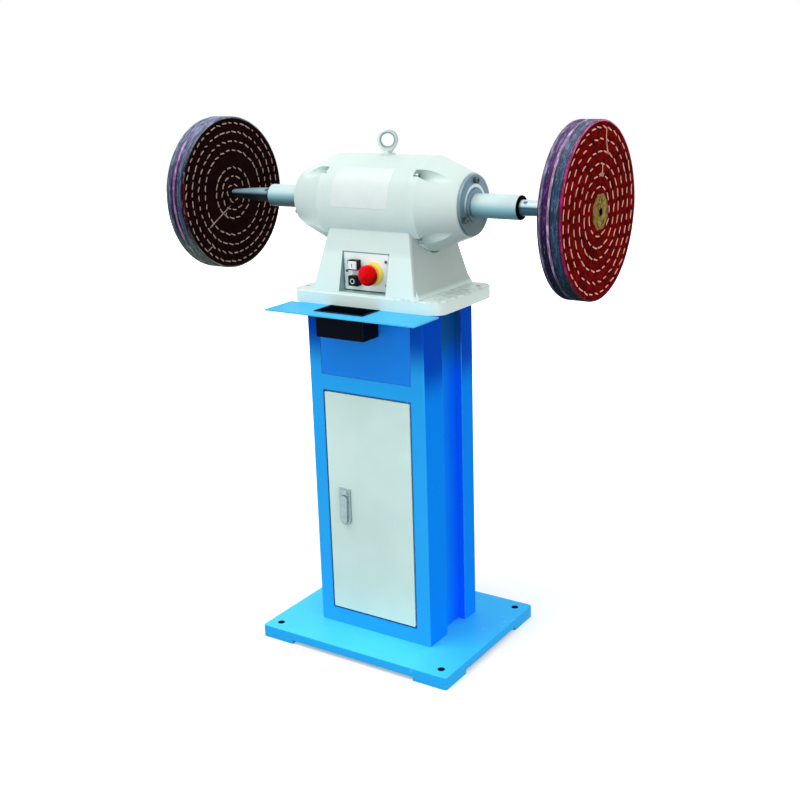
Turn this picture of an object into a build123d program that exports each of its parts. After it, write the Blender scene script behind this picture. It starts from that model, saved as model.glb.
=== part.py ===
from build123d import *
import math
import os

# Pedestal buffing machine with two stitched buffs on one spindle.
# Millimetres. Origin on the floor under the middle of the base plate,
# X along the spindle, front at -Y, Z up.

# Base plate and foot pads
PLATE_LENGTH = 500
PLATE_DEPTH = 400
PLATE_THICK = 20
PLATE_CORNER = 6
PLATE_EDGE = 1.5
PAD_SIZE = 85
PAD_THICK = 9
ANCHOR_DIA = 16
ANCHOR_INSET = 30

# Column of folded sheet
COLUMN_WIDTH = 300
COLUMN_DEPTH = 206
COLUMN_FRONT = -100
COLUMN_HEIGHT = 750
SHEET = 3
BEND_RADIUS = 4
RECESS_BEHIND_FRONT = 74
RECESS_WIDTH = 84
RECESS_DEPTH = 20
TOP_PLATE_THICK = 8

# Inset panel above the door
PANEL_WIDTH = 234
PANEL_ABOVE_DOOR = 40
PANEL_BELOW_TOP = 10
PANEL_INSET = 1
PANEL_GAP = 0.8
PANEL_LIP = 8
PANEL_SHEET = 1.5

# Cabinet door, a folded pan on pin hinges
DOOR_WIDTH = 223
DOOR_HEIGHT = 523
DOOR_SILL = 41
DOOR_GAP = 3
DOOR_SHEET = 1.5
DOOR_DEPTH = 16
DOOR_PROUD = 0.5
DOOR_CORNER = 3
HINGE_INSET = 8
HINGE_BACK = 6.5
HINGE_PIN_DIA = 5
HINGE_FIT = 0.08
HINGE_PIN_IN_DOOR = 12
BRACKET_WIDTH = 20
BRACKET_THICK = 4
BRACKET_REACH = 12
BRACKET_ABOVE_GAP = 1

# Quarter-turn latch on the door
LATCH_WIDTH = 30
LATCH_HEIGHT = 88
LATCH_FROM_LEFT = 44.5
LATCH_UP = 213
LATCH_CASE_THICK = 4
LATCH_EDGE = 1.2
LATCH_HUB_BELOW_TOP = 26
HANDLE_WIDTH = 20
HANDLE_TIP_WIDTH = 16
HANDLE_THICK = 5.5
HANDLE_GAP = 0.4
HANDLE_END_MARGIN = 4
LATCH_SPINDLE_DIA = 9
LATCH_FIT = 0.08
BUTTON_WIDTH = 18
BUTTON_HEIGHT = 11
BUTTON_PROUD = 6
BUTTON_BELOW_TOP = 8
BUTTON_FIT = 0.1
LATCH_PRESS = 2.5
CAM_WIDTH = 15
CAM_THICK = 4
CAM_LENGTH = 61
CAM_BEHIND_PAN = 1
STRIKE_HEIGHT = 44
STRIKE_SHEET = 2.5
STRIKE_LENGTH = 19
STRIKE_GAP = 1

# Tray plate and the pot that hangs in it
TRAY_SHEET = 3
TRAY_WIDTH = 380
TRAY_FRONT = -196
POT_WIDTH = 121
POT_DEPTH = 57
POT_HEIGHT = 57
POT_SHEET = 1.5
POT_RIM = 3
POT_CLEAR = 1
POT_CENTRE_X = -17.5
POT_BEHIND_GAP = 1.5

# Head casting: base, tapered pedestal and motor barrel
SPINDLE_Y = 17
SPINDLE_ABOVE_TRAY = 213
HEAD_LENGTH = 384
HEAD_DEPTH = 236
HEAD_THICK = 28
HEAD_CORNER = 32
HEAD_EDGE = 4
FOOT_LENGTH = 268
FOOT_DEPTH = 234
WAIST_LENGTH = 186
WAIST_DEPTH = 144
PEDESTAL_ROUND = 5
FOOT_FLARE = 8
FOOT_FLARE_HEIGHT = 24
FOOT_FLARE_BLEND = 2
CASTING_WALL = 10
FLOOR_THICK = 16
FLOOR_OPENING_LENGTH = 170
FLOOR_OPENING_DEPTH = 120
BARREL_RADIUS = 99
BARREL_LENGTH = 200
STATOR_RADIUS = 80
BELL_CLEARANCE = 1
HOLLOW_RADIUS = 50
HOLLOW_DEPTH = 5
CAVITY_BELOW_BARREL = 10
EYE_PAD_RADIUS = 17
EYE_PAD_HEIGHT = 2

# Studs that hold the head to the column, and its bench holes
STUD_X = 106
STUD_Y = 48
STUD_DIA = 10
STUD_HOLE = 11
BENCH_HOLE_X = 172
BENCH_HOLE_Y = 77
BENCH_HOLE_DIA = 11
NUT_FLATS = 17
NUT_HEIGHT = 8
NUT_BELOW = 3

# Conical end bells and their screws
BELL_LENGTH = 105
BELL_STRAIGHT = 22
BELL_END_RADIUS = 66.5
BELL_INNER_RADIUS = 71
BELL_INNER_STRAIGHT = 40
BELL_WEB = 5
BELL_ROUND = 6
BELL_SCREW_CIRCLE = 89
BELL_SCREW_SEAT = 9
POCKET_RADIUS = 13
CAP_SCREW_DIA = 8
CAP_SCREW_HEAD = 13
CAP_SCREW_HEIGHT = 8
CAP_SCREW_LENGTH = 24
SOCKET_FLATS = 6
SOCKET_DEPTH = 4
SCREW_FIT = 0.2
BELL_SCREWS = 4

# Bearings
BEARING_BORE = 35
BEARING_DIA = 72
BEARING_WIDTH = 17
BEARING_RING = 5
BALL_DIA = 11
BALL_COUNT = 9
BALL_FIT = 0.05
BEARING_SHOULDER = 5

# Bearing caps and the tubes round the spindle
CAP_RADIUS = 63
CAP_THICK = 6
CAP_SPIGOT = 5
CAP_BOSS_RADIUS = 35
CAP_BOSS_HEIGHT = 4
CAP_EDGE = 1
CAP_SCREW_CIRCLE = 51
CAP_SCREWS = 3
CAP_BORE_CLEAR = 2
SLEEVE_DIA = 50
SLEEVE_BORE = 40
SLEEVE_REACH = 106
SLEEVE_SEAT = 9
SEAL_DIA = 45
SEAL_WIDTH = 5
SEAL_LIP_DIA = 49
SEAL_LIP = 3
SEAL_LIP_ROUND = 1
SEAL_FIT = 0.08

# Motor inside the barrel
STATOR_BORE = 94
STATOR_LENGTH = 120
AIR_GAP = 0.5
WINDING_INNER = 52
WINDING_OUTER = 68
WINDING_REACH = 28
WINDING_ROUND = 6
SHAFT_DIA = 38

# Tapered spindle ends
SPINDLE_DIA = 33
SPINDLE_JOINT_IN_SLEEVE = 20
SPINDLE_STUD_DIA = 18
SPINDLE_STUD_LENGTH = 26
TAPER_BEND_DIA = 30
TAPER_BEND_FROM_SEAL = 50
TAPER_BEND_ROUND = 600
TAPER_END_DIA = 17
CROSS_HOLE_DIA = 9
CROSS_HOLE_FROM_SEAL = 12
CROSS_HOLE_UP = 51
NOSE_DIA = 13
NOSE_SHORT = 10

# Stitched buffs
BUFF_DIA = 350
BUFF_SECTION = 25
BUFF_INNER_FACE = 438
BUFF_RIM_ROUND = 4
BUFF_FIT = 0.05
SEAM_DEPTH = 1.2
SEAM_HALF_WIDTH = 7
SEAMS_RIGHT = (160, 138, 115, 92, 70, 47.5)
SEAMS_LEFT = (160, 140, 119, 97.5, 59, 39, 20)
HUB_PATCH_FLATS = 70
HUB_PATCH_THICK = 2

# Lifting eye
EYE_DIA = 45
EYE_HOLE = 27
EYE_THICK = 9
EYE_ROUND = 4
EYE_COLLAR_DIA = 18
EYE_COLLAR_HEIGHT = 5
EYE_SHANK_DIA = 10
EYE_SHANK = 9
EYE_HEIGHT = 28
EYE_TURN = 33

# Switch pocket, panel and buttons
POCKET_WIDTH = 119
POCKET_HEIGHT = 84
POCKET_CENTRE_X = -1.5
POCKET_ABOVE_BASE = 4
POCKET_BACK = -36
SWITCH_FACE = -77
SWITCH_SHEET = 2
SWITCH_GAP = 2
SWITCH_LEDGE = 12
SWITCH_SCREW_INSET = 7
SWITCH_SCREW_RISE = 25
SWITCH_SCREW_HEAD = 6
SWITCH_SCREW_HEIGHT = 2
SWITCH_SCREW_LENGTH = 8
SWITCH_SCREW_DIA = 3
BLOCK_WIDTH = 92
BLOCK_HEIGHT = 58
BLOCK_DEPTH = 34
BLOCK_BORE_DEPTH = 14
KEY_X = -28.5
KEY_PITCH = 34
KEY_ABOVE_CENTRE = -2
KEY_WIDTH = 21
KEY_HEIGHT = 17
KEY_PROUD = 16
KEY_TAIL = 8
KEY_ROUND = 1.5
KEY_FIT = 0.3
BEZEL_WALL = 2
BEZEL_PROUD = 13
ESTOP_X = 16.5
ESTOP_BELOW_CENTRE = 2
ESTOP_DIA = 44
ESTOP_REACH = 35
ESTOP_RIM = 11
ESTOP_DOME = 6
ESTOP_NECK_DIA = 24
ESTOP_UNDER = 16
ESTOP_STEM_DIA = 16
ESTOP_STEM_TAIL = 6
ESTOP_STEM_SEAT = 24
ESTOP_FIT = 0.3
ESTOP_TURN_FIT = 0.05
COLLAR_DIA = 50
COLLAR_TOP_DIA = 42
COLLAR_HEIGHT = 9

# Cable gland on the back of the pedestal
GLAND_X = 72
GLAND_UP = 34
GLAND_FLATS = 24
GLAND_HEX = 6
GLAND_DOME_DIA = 22
GLAND_DOME = 14
GLAND_THREAD_DIA = 20
GLAND_BORE = 11
GLAND_FIT = 0.2
LOCKNUT_FLATS = 26
LOCKNUT_THICK = 5
GLAND_PAST_NUT = 3

# Heights and stations that follow from the sizes above
plate_top = PAD_THICK + PLATE_THICK
walls_top = plate_top + COLUMN_HEIGHT
tray_bottom = walls_top + TOP_PLATE_THICK
tray_top = tray_bottom + TRAY_SHEET
head_top = tray_top + HEAD_THICK
floor_top = tray_top + FLOOR_THICK
pedestal_foot = head_top - HEAD_EDGE
spindle_z = tray_top + SPINDLE_ABOVE_TRAY
column_back_y = COLUMN_FRONT + COLUMN_DEPTH
recess_front = COLUMN_FRONT + RECESS_BEHIND_FRONT
recess_back = recess_front + RECESS_WIDTH
side_x = COLUMN_WIDTH / 2
web_x = side_x - RECESS_DEPTH
head_front = SPINDLE_Y - HEAD_DEPTH / 2

door_bottom = plate_top + DOOR_SILL
door_top = door_bottom + DOOR_HEIGHT
door_front = COLUMN_FRONT - DOOR_PROUD
door_rear = door_front + DOOR_DEPTH
hinge_x = DOOR_WIDTH / 2 - HINGE_INSET
hinge_y = door_front + HINGE_BACK

latch_x = -DOOR_WIDTH / 2 + LATCH_FROM_LEFT
latch_bottom = door_bottom + LATCH_UP
latch_top = latch_bottom + LATCH_HEIGHT
latch_hub_z = latch_top - LATCH_HUB_BELOW_TOP
case_front = door_front - LATCH_CASE_THICK
cam_front = door_rear + CAM_BEHIND_PAN

bell_start = BARREL_LENGTH / 2
bell_end = bell_start + BELL_LENGTH
bearing_end = bell_end - CAP_SPIGOT
bearing_start = bearing_end - BEARING_WIDTH
ball_circle = (BEARING_DIA + BEARING_BORE) / 4
cap_face = bell_end + CAP_THICK
sleeve_end = cap_face + SLEEVE_REACH
sleeve_start = cap_face + CAP_BOSS_HEIGHT - SLEEVE_SEAT
seal_start = sleeve_end - SEAL_WIDTH
seal_end = sleeve_end + SEAL_LIP
spindle_joint = sleeve_end - SPINDLE_JOINT_IN_SLEEVE
buff_outer_face = BUFF_INNER_FACE + 2 * BUFF_SECTION
nose_end = buff_outer_face - NOSE_SHORT

pocket_z = head_top + POCKET_ABOVE_BASE + POCKET_HEIGHT / 2
panel_back = SWITCH_FACE + SWITCH_SHEET
key_z = pocket_z + KEY_ABOVE_CENTRE
estop_z = pocket_z - ESTOP_BELOW_CENTRE

SPINDLE_AXIS = Axis((0, SPINDLE_Y, spindle_z), (1, 0, 0))
TURNING_PLANE = Plane(origin=(0, SPINDLE_Y, spindle_z), x_dir=(1, 0, 0), z_dir=(0, -1, 0))
LOW = (Align.CENTER, Align.CENTER, Align.MIN)


def block(x0, x1, y0, y1, z0, z1):
    """A box between two corners."""
    return Pos((x0 + x1) / 2, (y0 + y1) / 2, (z0 + z1) / 2) * Box(x1 - x0, y1 - y0, z1 - z0)


def post(x, y, z0, z1, dia):
    """A round bar standing along Z."""
    return Pos(x, y, z0) * Cylinder(dia / 2, z1 - z0, align=LOW)


def rod(x, z, y0, y1, dia):
    """A round bar lying along Y, from its front end to its back end."""
    return Pos(x, y0, z) * Rot(-90, 0, 0) * Cylinder(dia / 2, y1 - y0, align=LOW)


def bar(radius, x0, x1):
    """A round bar on the spindle axis."""
    return Pos(x0, SPINDLE_Y, spindle_z) * Rot(0, 90, 0) * Cylinder(radius, x1 - x0, align=LOW)


def tube(outer, inner, x0, x1):
    """A ring or tube on the spindle axis."""
    return bar(outer, x0, x1) - bar(inner, x0, x1)


def turned(points, rounds=None):
    """A profile of (x, radius) points turned about the spindle axis, with some corners rounded."""
    profile = make_face(Polyline(*points, close=True))
    for index, radius in (rounds or {}).items():
        corner = Vector(*points[index])
        vertex = min(profile.vertices(), key=lambda v: (Vector(v.X, v.Y) - corner).length)
        profile = fillet(vertex, radius)
    return revolve(TURNING_PLANE * profile, SPINDLE_AXIS, 360)


def on_circle(radius, count, start, x):
    """Places on a circle round the spindle axis at one station, each facing along +X."""
    places = []
    for step in range(count):
        angle = math.radians(start + 360 * step / count)
        y = SPINDLE_Y + radius * math.cos(angle)
        z = spindle_z + radius * math.sin(angle)
        places.append(Pos(x, y, z) * Rot(0, 90, 0))
    return places


def mirrored(solid):
    """The same piece on the left-hand end."""
    return mirror(solid, about=Plane.YZ)


def cap_screw(dia, head, height, length, flats, depth):
    """Socket cap screw with its seat at the origin, head towards +Z."""
    screw = Cylinder(head / 2, height, align=LOW) + Pos(0, 0, -length) * Cylinder(dia / 2, length, align=LOW)
    socket = extrude(RegularPolygon(flats / 2, 6, major_radius=False), depth)
    return screw - Pos(0, 0, height - depth) * socket


def prism(flats, thick):
    """Hexagonal prism standing on the origin."""
    return extrude(RegularPolygon(flats / 2, 6, major_radius=False), thick)


def group(solids):
    """Separate solids that share one node."""
    return Compound(children=list(solids))


# Stand

def base_plate():
    outline = RectangleRounded(PLATE_LENGTH, PLATE_DEPTH, PLATE_CORNER)
    plate = Pos(0, 0, PAD_THICK) * extrude(outline, PLATE_THICK)
    plate = fillet(plate.faces().sort_by(Axis.Z)[-1].edges(), PLATE_EDGE)
    for x, y in anchor_places():
        plate -= post(x, y, PAD_THICK, plate_top, ANCHOR_DIA)
    return plate


def anchor_places():
    x = PLATE_LENGTH / 2 - ANCHOR_INSET
    y = PLATE_DEPTH / 2 - ANCHOR_INSET
    return [(-x, -y), (x, -y), (-x, y), (x, y)]


def foot_pads():
    pads = []
    for x, y in anchor_places():
        cx = math.copysign(PLATE_LENGTH / 2 - PAD_SIZE / 2, x)
        cy = math.copysign(PLATE_DEPTH / 2 - PAD_SIZE / 2, y)
        pad = Pos(cx, cy, 0) * Box(PAD_SIZE, PAD_SIZE, PAD_THICK, align=LOW)
        outer = [e for e in pad.edges().filter_by(Axis.Z) if abs(e.center().X) > abs(cx) and abs(e.center().Y) > abs(cy)]
        pad = fillet(outer, PLATE_CORNER)
        pads.append(pad - post(x, y, 0, PAD_THICK, ANCHOR_DIA))
    return group(pads)


def channel(y_web, y_ends):
    """Folded sheet channel as wide as the column, with its web at one y and its two flanges ending at another."""
    inward = math.copysign(SHEET, y_ends - y_web)
    inner_x = side_x - SHEET
    section = make_face(
        Polyline(
            (-side_x, y_ends), (-side_x, y_web), (side_x, y_web), (side_x, y_ends),
            (inner_x, y_ends), (inner_x, y_web + inward), (-inner_x, y_web + inward), (-inner_x, y_ends),
            close=True,
        )
    )
    outside = [v for v in section.vertices() if abs(v.Y - y_web) < SHEET / 2]
    section = fillet(outside, BEND_RADIUS)
    inside = [v for v in section.vertices() if abs(v.Y - y_web - inward) < SHEET / 2 and abs(abs(v.X) - inner_x) < SHEET / 2]
    section = fillet(inside, BEND_RADIUS - SHEET)
    return Pos(0, 0, plate_top) * extrude(section, COLUMN_HEIGHT)


def column_front():
    sheet = channel(COLUMN_FRONT, recess_front)
    half = DOOR_WIDTH / 2 + DOOR_GAP
    doorway = block(
        -half, half, COLUMN_FRONT - SHEET, COLUMN_FRONT + 2 * SHEET, door_bottom - DOOR_GAP, door_top + DOOR_GAP
    )
    doorway = fillet(doorway.edges().filter_by(Axis.Y), DOOR_CORNER + DOOR_GAP)
    half = PANEL_WIDTH / 2 + PANEL_GAP
    low, high = panel_span()
    window = block(
        -half, half, COLUMN_FRONT - SHEET, COLUMN_FRONT + 2 * SHEET, low - PANEL_GAP, high + PANEL_GAP
    )
    return sheet - doorway - window


def column_back():
    return channel(column_back_y, recess_back)


def column_web(side):
    inner = side_x - SHEET
    points = [
        (inner, recess_front - SHEET),
        (inner, recess_front),
        (web_x, recess_front),
        (web_x, recess_back),
        (inner, recess_back),
        (inner, recess_back + SHEET),
        (web_x - SHEET, recess_back + SHEET),
        (web_x - SHEET, recess_front - SHEET),
    ]
    section = make_face(Polyline(*points, close=True))
    outside = [v for v in section.vertices() if abs(v.X - web_x + SHEET) < SHEET / 2]
    section = fillet(outside, BEND_RADIUS)
    inside = [v for v in section.vertices() if abs(v.X - web_x) < SHEET / 2]
    section = fillet(inside, BEND_RADIUS - SHEET)
    web = Pos(0, 0, plate_top) * extrude(section, COLUMN_HEIGHT)
    return web if side > 0 else mirrored(web)


def four_about_spindle(x, y):
    """Four places in plan, one in each quarter round the middle of the head."""
    return [(sx * x, SPINDLE_Y + sy * y) for sx in (-1, 1) for sy in (-1, 1)]


def column_top_plate():
    plate = block(-side_x, side_x, COLUMN_FRONT, column_back_y, walls_top, tray_bottom)
    plate = fillet(plate.edges().filter_by(Axis.Z), BEND_RADIUS)
    for x, y in four_about_spindle(STUD_X, STUD_Y):
        plate -= post(x, y, walls_top, tray_bottom, STUD_HOLE)
    return plate


def panel_span():
    """Bottom and top of the inset panel, between the door and the top of the walls."""
    return door_top + PANEL_ABOVE_DOOR, walls_top - PANEL_BELOW_TOP


def upper_panel():
    low, high = panel_span()
    front = COLUMN_FRONT + PANEL_INSET
    back = COLUMN_FRONT + SHEET
    half = PANEL_WIDTH / 2
    face = block(-half, half, front, back, low, high)
    lip = block(-half - PANEL_LIP, half + PANEL_LIP, back, back + PANEL_SHEET, low - PANEL_LIP, high + PANEL_LIP)
    return face + lip


def pot_span():
    """Outer walls of the pot: x and y limits."""
    back = head_front - POT_BEHIND_GAP - POT_RIM
    half = POT_WIDTH / 2
    return POT_CENTRE_X - half, POT_CENTRE_X + half, back - POT_DEPTH, back


def tray_plate():
    half = TRAY_WIDTH / 2
    front = block(-half, half, TRAY_FRONT, head_front, tray_bottom, tray_top)
    rear = block(-side_x, side_x, head_front, column_back_y, tray_bottom, tray_top)
    x0, x1, y0, y1 = pot_span()
    hole = block(x0 - POT_CLEAR, x1 + POT_CLEAR, y0 - POT_CLEAR, y1 + POT_CLEAR, tray_bottom, tray_top)
    plate = front + rear - hole
    for x, y in four_about_spindle(STUD_X, STUD_Y):
        plate -= post(x, y, tray_bottom, tray_top, STUD_HOLE)
    return plate


def compound_pot():
    x0, x1, y0, y1 = pot_span()
    rim_top = tray_top + POT_SHEET
    outer = block(x0, x1, y0, y1, rim_top - POT_HEIGHT, rim_top)
    rim = block(x0 - POT_RIM, x1 + POT_RIM, y0 - POT_RIM, y1 + POT_RIM, tray_top, rim_top)
    t = POT_SHEET
    inner = block(x0 + t, x1 - t, y0 + t, y1 - t, rim_top - POT_HEIGHT + t, rim_top)
    return outer + rim - inner


# Door, hinges and latch

def cabinet_door():
    half = DOOR_WIDTH / 2
    pan = block(-half, half, door_front, door_rear, door_bottom, door_top)
    pan = fillet(pan.edges().filter_by(Axis.Y), DOOR_CORNER)
    t = DOOR_SHEET
    pan -= block(-half + t, half - t, door_front + t, door_rear, door_bottom + t, door_top - t)
    pan -= post(hinge_x, hinge_y, door_bottom, door_top, HINGE_PIN_DIA)
    pan -= rod(latch_x, latch_hub_z, door_front, door_front + t, LATCH_SPINDLE_DIA + 2 * LATCH_FIT)
    return pan


def bracket_spans():
    """Bottom and top of the lower and the upper hinge bracket."""
    low = door_bottom - DOOR_GAP - BRACKET_ABOVE_GAP
    high = door_top + DOOR_GAP + BRACKET_ABOVE_GAP
    return (low - BRACKET_THICK, low), (high, high + BRACKET_THICK)


def hinge_brackets():
    plates = []
    back = COLUMN_FRONT + SHEET
    for low, high in bracket_spans():
        x0 = hinge_x - BRACKET_WIDTH / 2
        plate = block(x0, x0 + BRACKET_WIDTH, back, back + BRACKET_REACH, low, high)
        plate = fillet(plate.faces().sort_by(Axis.Y)[-1].edges().filter_by(Axis.Z), BRACKET_THICK)
        plates.append(plate - post(hinge_x, hinge_y, low, high, HINGE_PIN_DIA + 2 * HINGE_FIT))
    return group(plates)


def hinge_pins():
    lower, upper = bracket_spans()
    past = BRACKET_THICK / 2
    bottom = post(hinge_x, hinge_y, lower[0] - past, door_bottom + HINGE_PIN_IN_DOOR, HINGE_PIN_DIA)
    top = post(hinge_x, hinge_y, door_top - HINGE_PIN_IN_DOOR, upper[1] + past, HINGE_PIN_DIA)
    return group([bottom, top])


def latch_outline(width, tip_width, bottom, top):
    """Upright outline in x and z: square at the top, narrowing to a round lower end."""
    radius = tip_width / 2
    centre = bottom + radius
    left = Line((-width / 2, top), (-radius, centre))
    end = ThreePointArc((-radius, centre), (0, bottom), (radius, centre))
    right = Line((radius, centre), (width / 2, top))
    lid = Line((width / 2, top), (-width / 2, top))
    return make_face(left + end + right + lid)


def upright(sketch, y_back, thick):
    """Extrude an x-z sketch of the latch towards the front from one y."""
    plane = Plane(origin=(latch_x, y_back, 0), x_dir=(1, 0, 0), z_dir=(0, -1, 0))
    return extrude(plane * sketch, thick)


def latch_button_z():
    return latch_top - BUTTON_BELOW_TOP


def latch_case():
    case = upright(latch_outline(LATCH_WIDTH, LATCH_WIDTH, latch_bottom, latch_top), door_front, LATCH_CASE_THICK)
    case = fillet(case.faces().sort_by(Axis.Y)[0].edges(), LATCH_EDGE)
    w = BUTTON_WIDTH / 2 + BUTTON_FIT
    h = BUTTON_HEIGHT / 2 + BUTTON_FIT
    z = latch_button_z()
    case -= block(latch_x - w, latch_x + w, case_front, door_front, z - h, z + h)
    return case - rod(latch_x, latch_hub_z, case_front, door_front, LATCH_SPINDLE_DIA + 2 * LATCH_FIT)


def latch_handle():
    low = latch_bottom + HANDLE_END_MARGIN
    tongue = upright(
        latch_outline(HANDLE_WIDTH, HANDLE_TIP_WIDTH, low, latch_hub_z), case_front - HANDLE_GAP, HANDLE_THICK
    )
    hub = rod(latch_x, latch_hub_z, case_front - HANDLE_GAP - HANDLE_THICK, case_front - HANDLE_GAP, HANDLE_WIDTH)
    handle = tongue + hub
    return fillet(handle.faces().sort_by(Axis.Y)[0].edges(), LATCH_EDGE)


def latch_button():
    z = latch_button_z()
    w = BUTTON_WIDTH / 2
    h = BUTTON_HEIGHT / 2
    back = door_front - LATCH_PRESS
    key = block(latch_x - w, latch_x + w, case_front - BUTTON_PROUD, back, z - h, z + h)
    return fillet(key.faces().sort_by(Axis.Y)[0].edges(), LATCH_EDGE)


def latch_cam():
    spindle = rod(latch_x, latch_hub_z, case_front - HANDLE_GAP, cam_front + CAM_THICK, LATCH_SPINDLE_DIA)
    arm = upright(
        latch_outline(CAM_WIDTH, CAM_WIDTH, latch_hub_z - CAM_LENGTH, latch_hub_z + CAM_WIDTH / 2),
        cam_front + CAM_THICK,
        CAM_THICK,
    )
    return spindle + arm


def latch_strike():
    """Folded bracket behind the front sheet that the cam turns in behind."""
    doorway_edge = -DOOR_WIDTH / 2 - DOOR_GAP
    right = doorway_edge - STRIKE_GAP
    left = right - STRIKE_LENGTH
    sheet_back = COLUMN_FRONT + SHEET
    plate_back = cam_front - STRIKE_GAP
    t = STRIKE_SHEET
    points = [
        (left - t, sheet_back),
        (left, sheet_back),
        (left, plate_back - t),
        (right, plate_back - t),
        (right, plate_back),
        (left - t, plate_back),
    ]
    section = make_face(Polyline(*points, close=True))
    return Pos(0, 0, latch_hub_z - STRIKE_HEIGHT / 2) * extrude(section, STRIKE_HEIGHT)


# Head

def tapered(length_low, depth_low, z_low, length_high, depth_high, z_high):
    """Rectangular taper between two levels, centred under the spindle."""
    low = Pos(0, SPINDLE_Y, z_low) * Rectangle(length_low, depth_low)
    high = Pos(0, SPINDLE_Y, z_high) * Rectangle(length_high, depth_high)
    return loft([low, high], ruled=True)


def pedestal_at(z):
    """Length and depth of the pedestal at one height."""
    share = (z - pedestal_foot) / (spindle_z - pedestal_foot)
    length = FOOT_LENGTH + (WAIST_LENGTH - FOOT_LENGTH) * share
    depth = FOOT_DEPTH + (WAIST_DEPTH - FOOT_DEPTH) * share
    return length, depth


def foot_flare():
    """The spread of the pedestal's two sides just above the base."""
    top_z = head_top + FOOT_FLARE_HEIGHT
    length, depth = pedestal_at(top_z)
    inset = 2 * PEDESTAL_ROUND
    low_length = FOOT_LENGTH + 2 * FOOT_FLARE
    return tapered(low_length, FOOT_DEPTH - inset, pedestal_foot, length - FOOT_FLARE_BLEND, depth - inset, top_z)


def bell_room():
    """The room for an end bell over the pedestal, with a shallow hollow below it."""
    room = bar(BARREL_RADIUS + BELL_CLEARANCE, bell_start, bell_end)
    axis_z = spindle_z - BARREL_RADIUS - HOLLOW_DEPTH + HOLLOW_RADIUS
    hollow = Pos(bell_start, SPINDLE_Y, axis_z) * Rot(0, 90, 0) * Cylinder(HOLLOW_RADIUS, BELL_LENGTH, align=LOW)
    return room + hollow


def head_casting():
    outline = Pos(0, SPINDLE_Y, tray_top) * RectangleRounded(HEAD_LENGTH, HEAD_DEPTH, HEAD_CORNER)
    base = extrude(outline, HEAD_THICK)
    base = fillet(base.faces().sort_by(Axis.Z)[-1].edges(), HEAD_EDGE)
    pedestal = tapered(FOOT_LENGTH, FOOT_DEPTH, pedestal_foot, WAIST_LENGTH, WAIST_DEPTH, spindle_z)
    slanted = [e for e in pedestal.edges() if abs((e @ 1 - e @ 0).Z) > HEAD_THICK]
    pedestal = fillet(slanted, PEDESTAL_ROUND) + foot_flare()
    pedestal -= bell_room()
    pedestal -= mirrored(bell_room())
    barrel = bar(BARREL_RADIUS, -bell_start, bell_start)
    eye_pad = post(0, SPINDLE_Y, spindle_z, spindle_z + BARREL_RADIUS + EYE_PAD_HEIGHT, 2 * EYE_PAD_RADIUS)
    casting = base + pedestal + barrel + eye_pad
    casting -= bar(STATOR_RADIUS, -bell_start, bell_start)
    cavity_top = spindle_z - BARREL_RADIUS - CAVITY_BELOW_BARREL
    foot = pedestal_at(floor_top)
    neck = pedestal_at(cavity_top)
    wall = 2 * CASTING_WALL
    cavity = tapered(foot[0] - wall, foot[1] - wall, floor_top, neck[0] - wall, neck[1] - wall, cavity_top)
    casting -= cavity - switch_pocket(CASTING_WALL)
    casting -= Pos(0, SPINDLE_Y, tray_top) * Box(FLOOR_OPENING_LENGTH, FLOOR_OPENING_DEPTH, FLOOR_THICK, align=LOW)
    casting -= switch_pocket(0)
    for place in gland_place():
        casting -= place * Pos(0, 0, -wall) * Cylinder(GLAND_THREAD_DIA / 2 + GLAND_FIT, 2 * wall, align=LOW)
    for x, y in four_about_spindle(STUD_X, STUD_Y):
        casting -= post(x, y, tray_top, floor_top, STUD_DIA)
    for x, y in four_about_spindle(BENCH_HOLE_X, BENCH_HOLE_Y):
        casting -= post(x, y, tray_top, head_top, BENCH_HOLE_DIA)
    for place in bell_screw_places():
        hole = place * Pos(0, 0, -CAP_SCREW_LENGTH) * Cylinder(
            CAP_SCREW_DIA / 2 + SCREW_FIT, CAP_SCREW_LENGTH, align=LOW
        )
        casting -= hole
        casting -= mirrored(hole)
    eye_seat = spindle_z + BARREL_RADIUS + EYE_PAD_HEIGHT
    casting -= post(0, SPINDLE_Y, eye_seat - EYE_SHANK, eye_seat, EYE_SHANK_DIA)
    for x, z in panel_screw_places():
        casting -= rod(x, z, panel_back, panel_back + SWITCH_SCREW_LENGTH, SWITCH_SCREW_DIA)
    return casting


def casting_bolts():
    """Studs set in the floor of the casting, which end under the column's top plate."""
    low = walls_top - NUT_HEIGHT - NUT_BELOW
    return group([post(x, y, low, floor_top, STUD_DIA) for x, y in four_about_spindle(STUD_X, STUD_Y)])


def casting_nuts():
    nuts = []
    for x, y in four_about_spindle(STUD_X, STUD_Y):
        nut = prism(NUT_FLATS, NUT_HEIGHT) - Cylinder(STUD_DIA / 2, NUT_HEIGHT, align=LOW)
        nuts.append(Pos(x, y, walls_top - NUT_HEIGHT) * nut)
    return group(nuts)


def bell_screw_places():
    return on_circle(BELL_SCREW_CIRCLE, BELL_SCREWS, 180 / BELL_SCREWS, bell_start + BELL_SCREW_SEAT)


def cap_screw_places():
    return on_circle(CAP_SCREW_CIRCLE, CAP_SCREWS, 90, cap_face)


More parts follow.
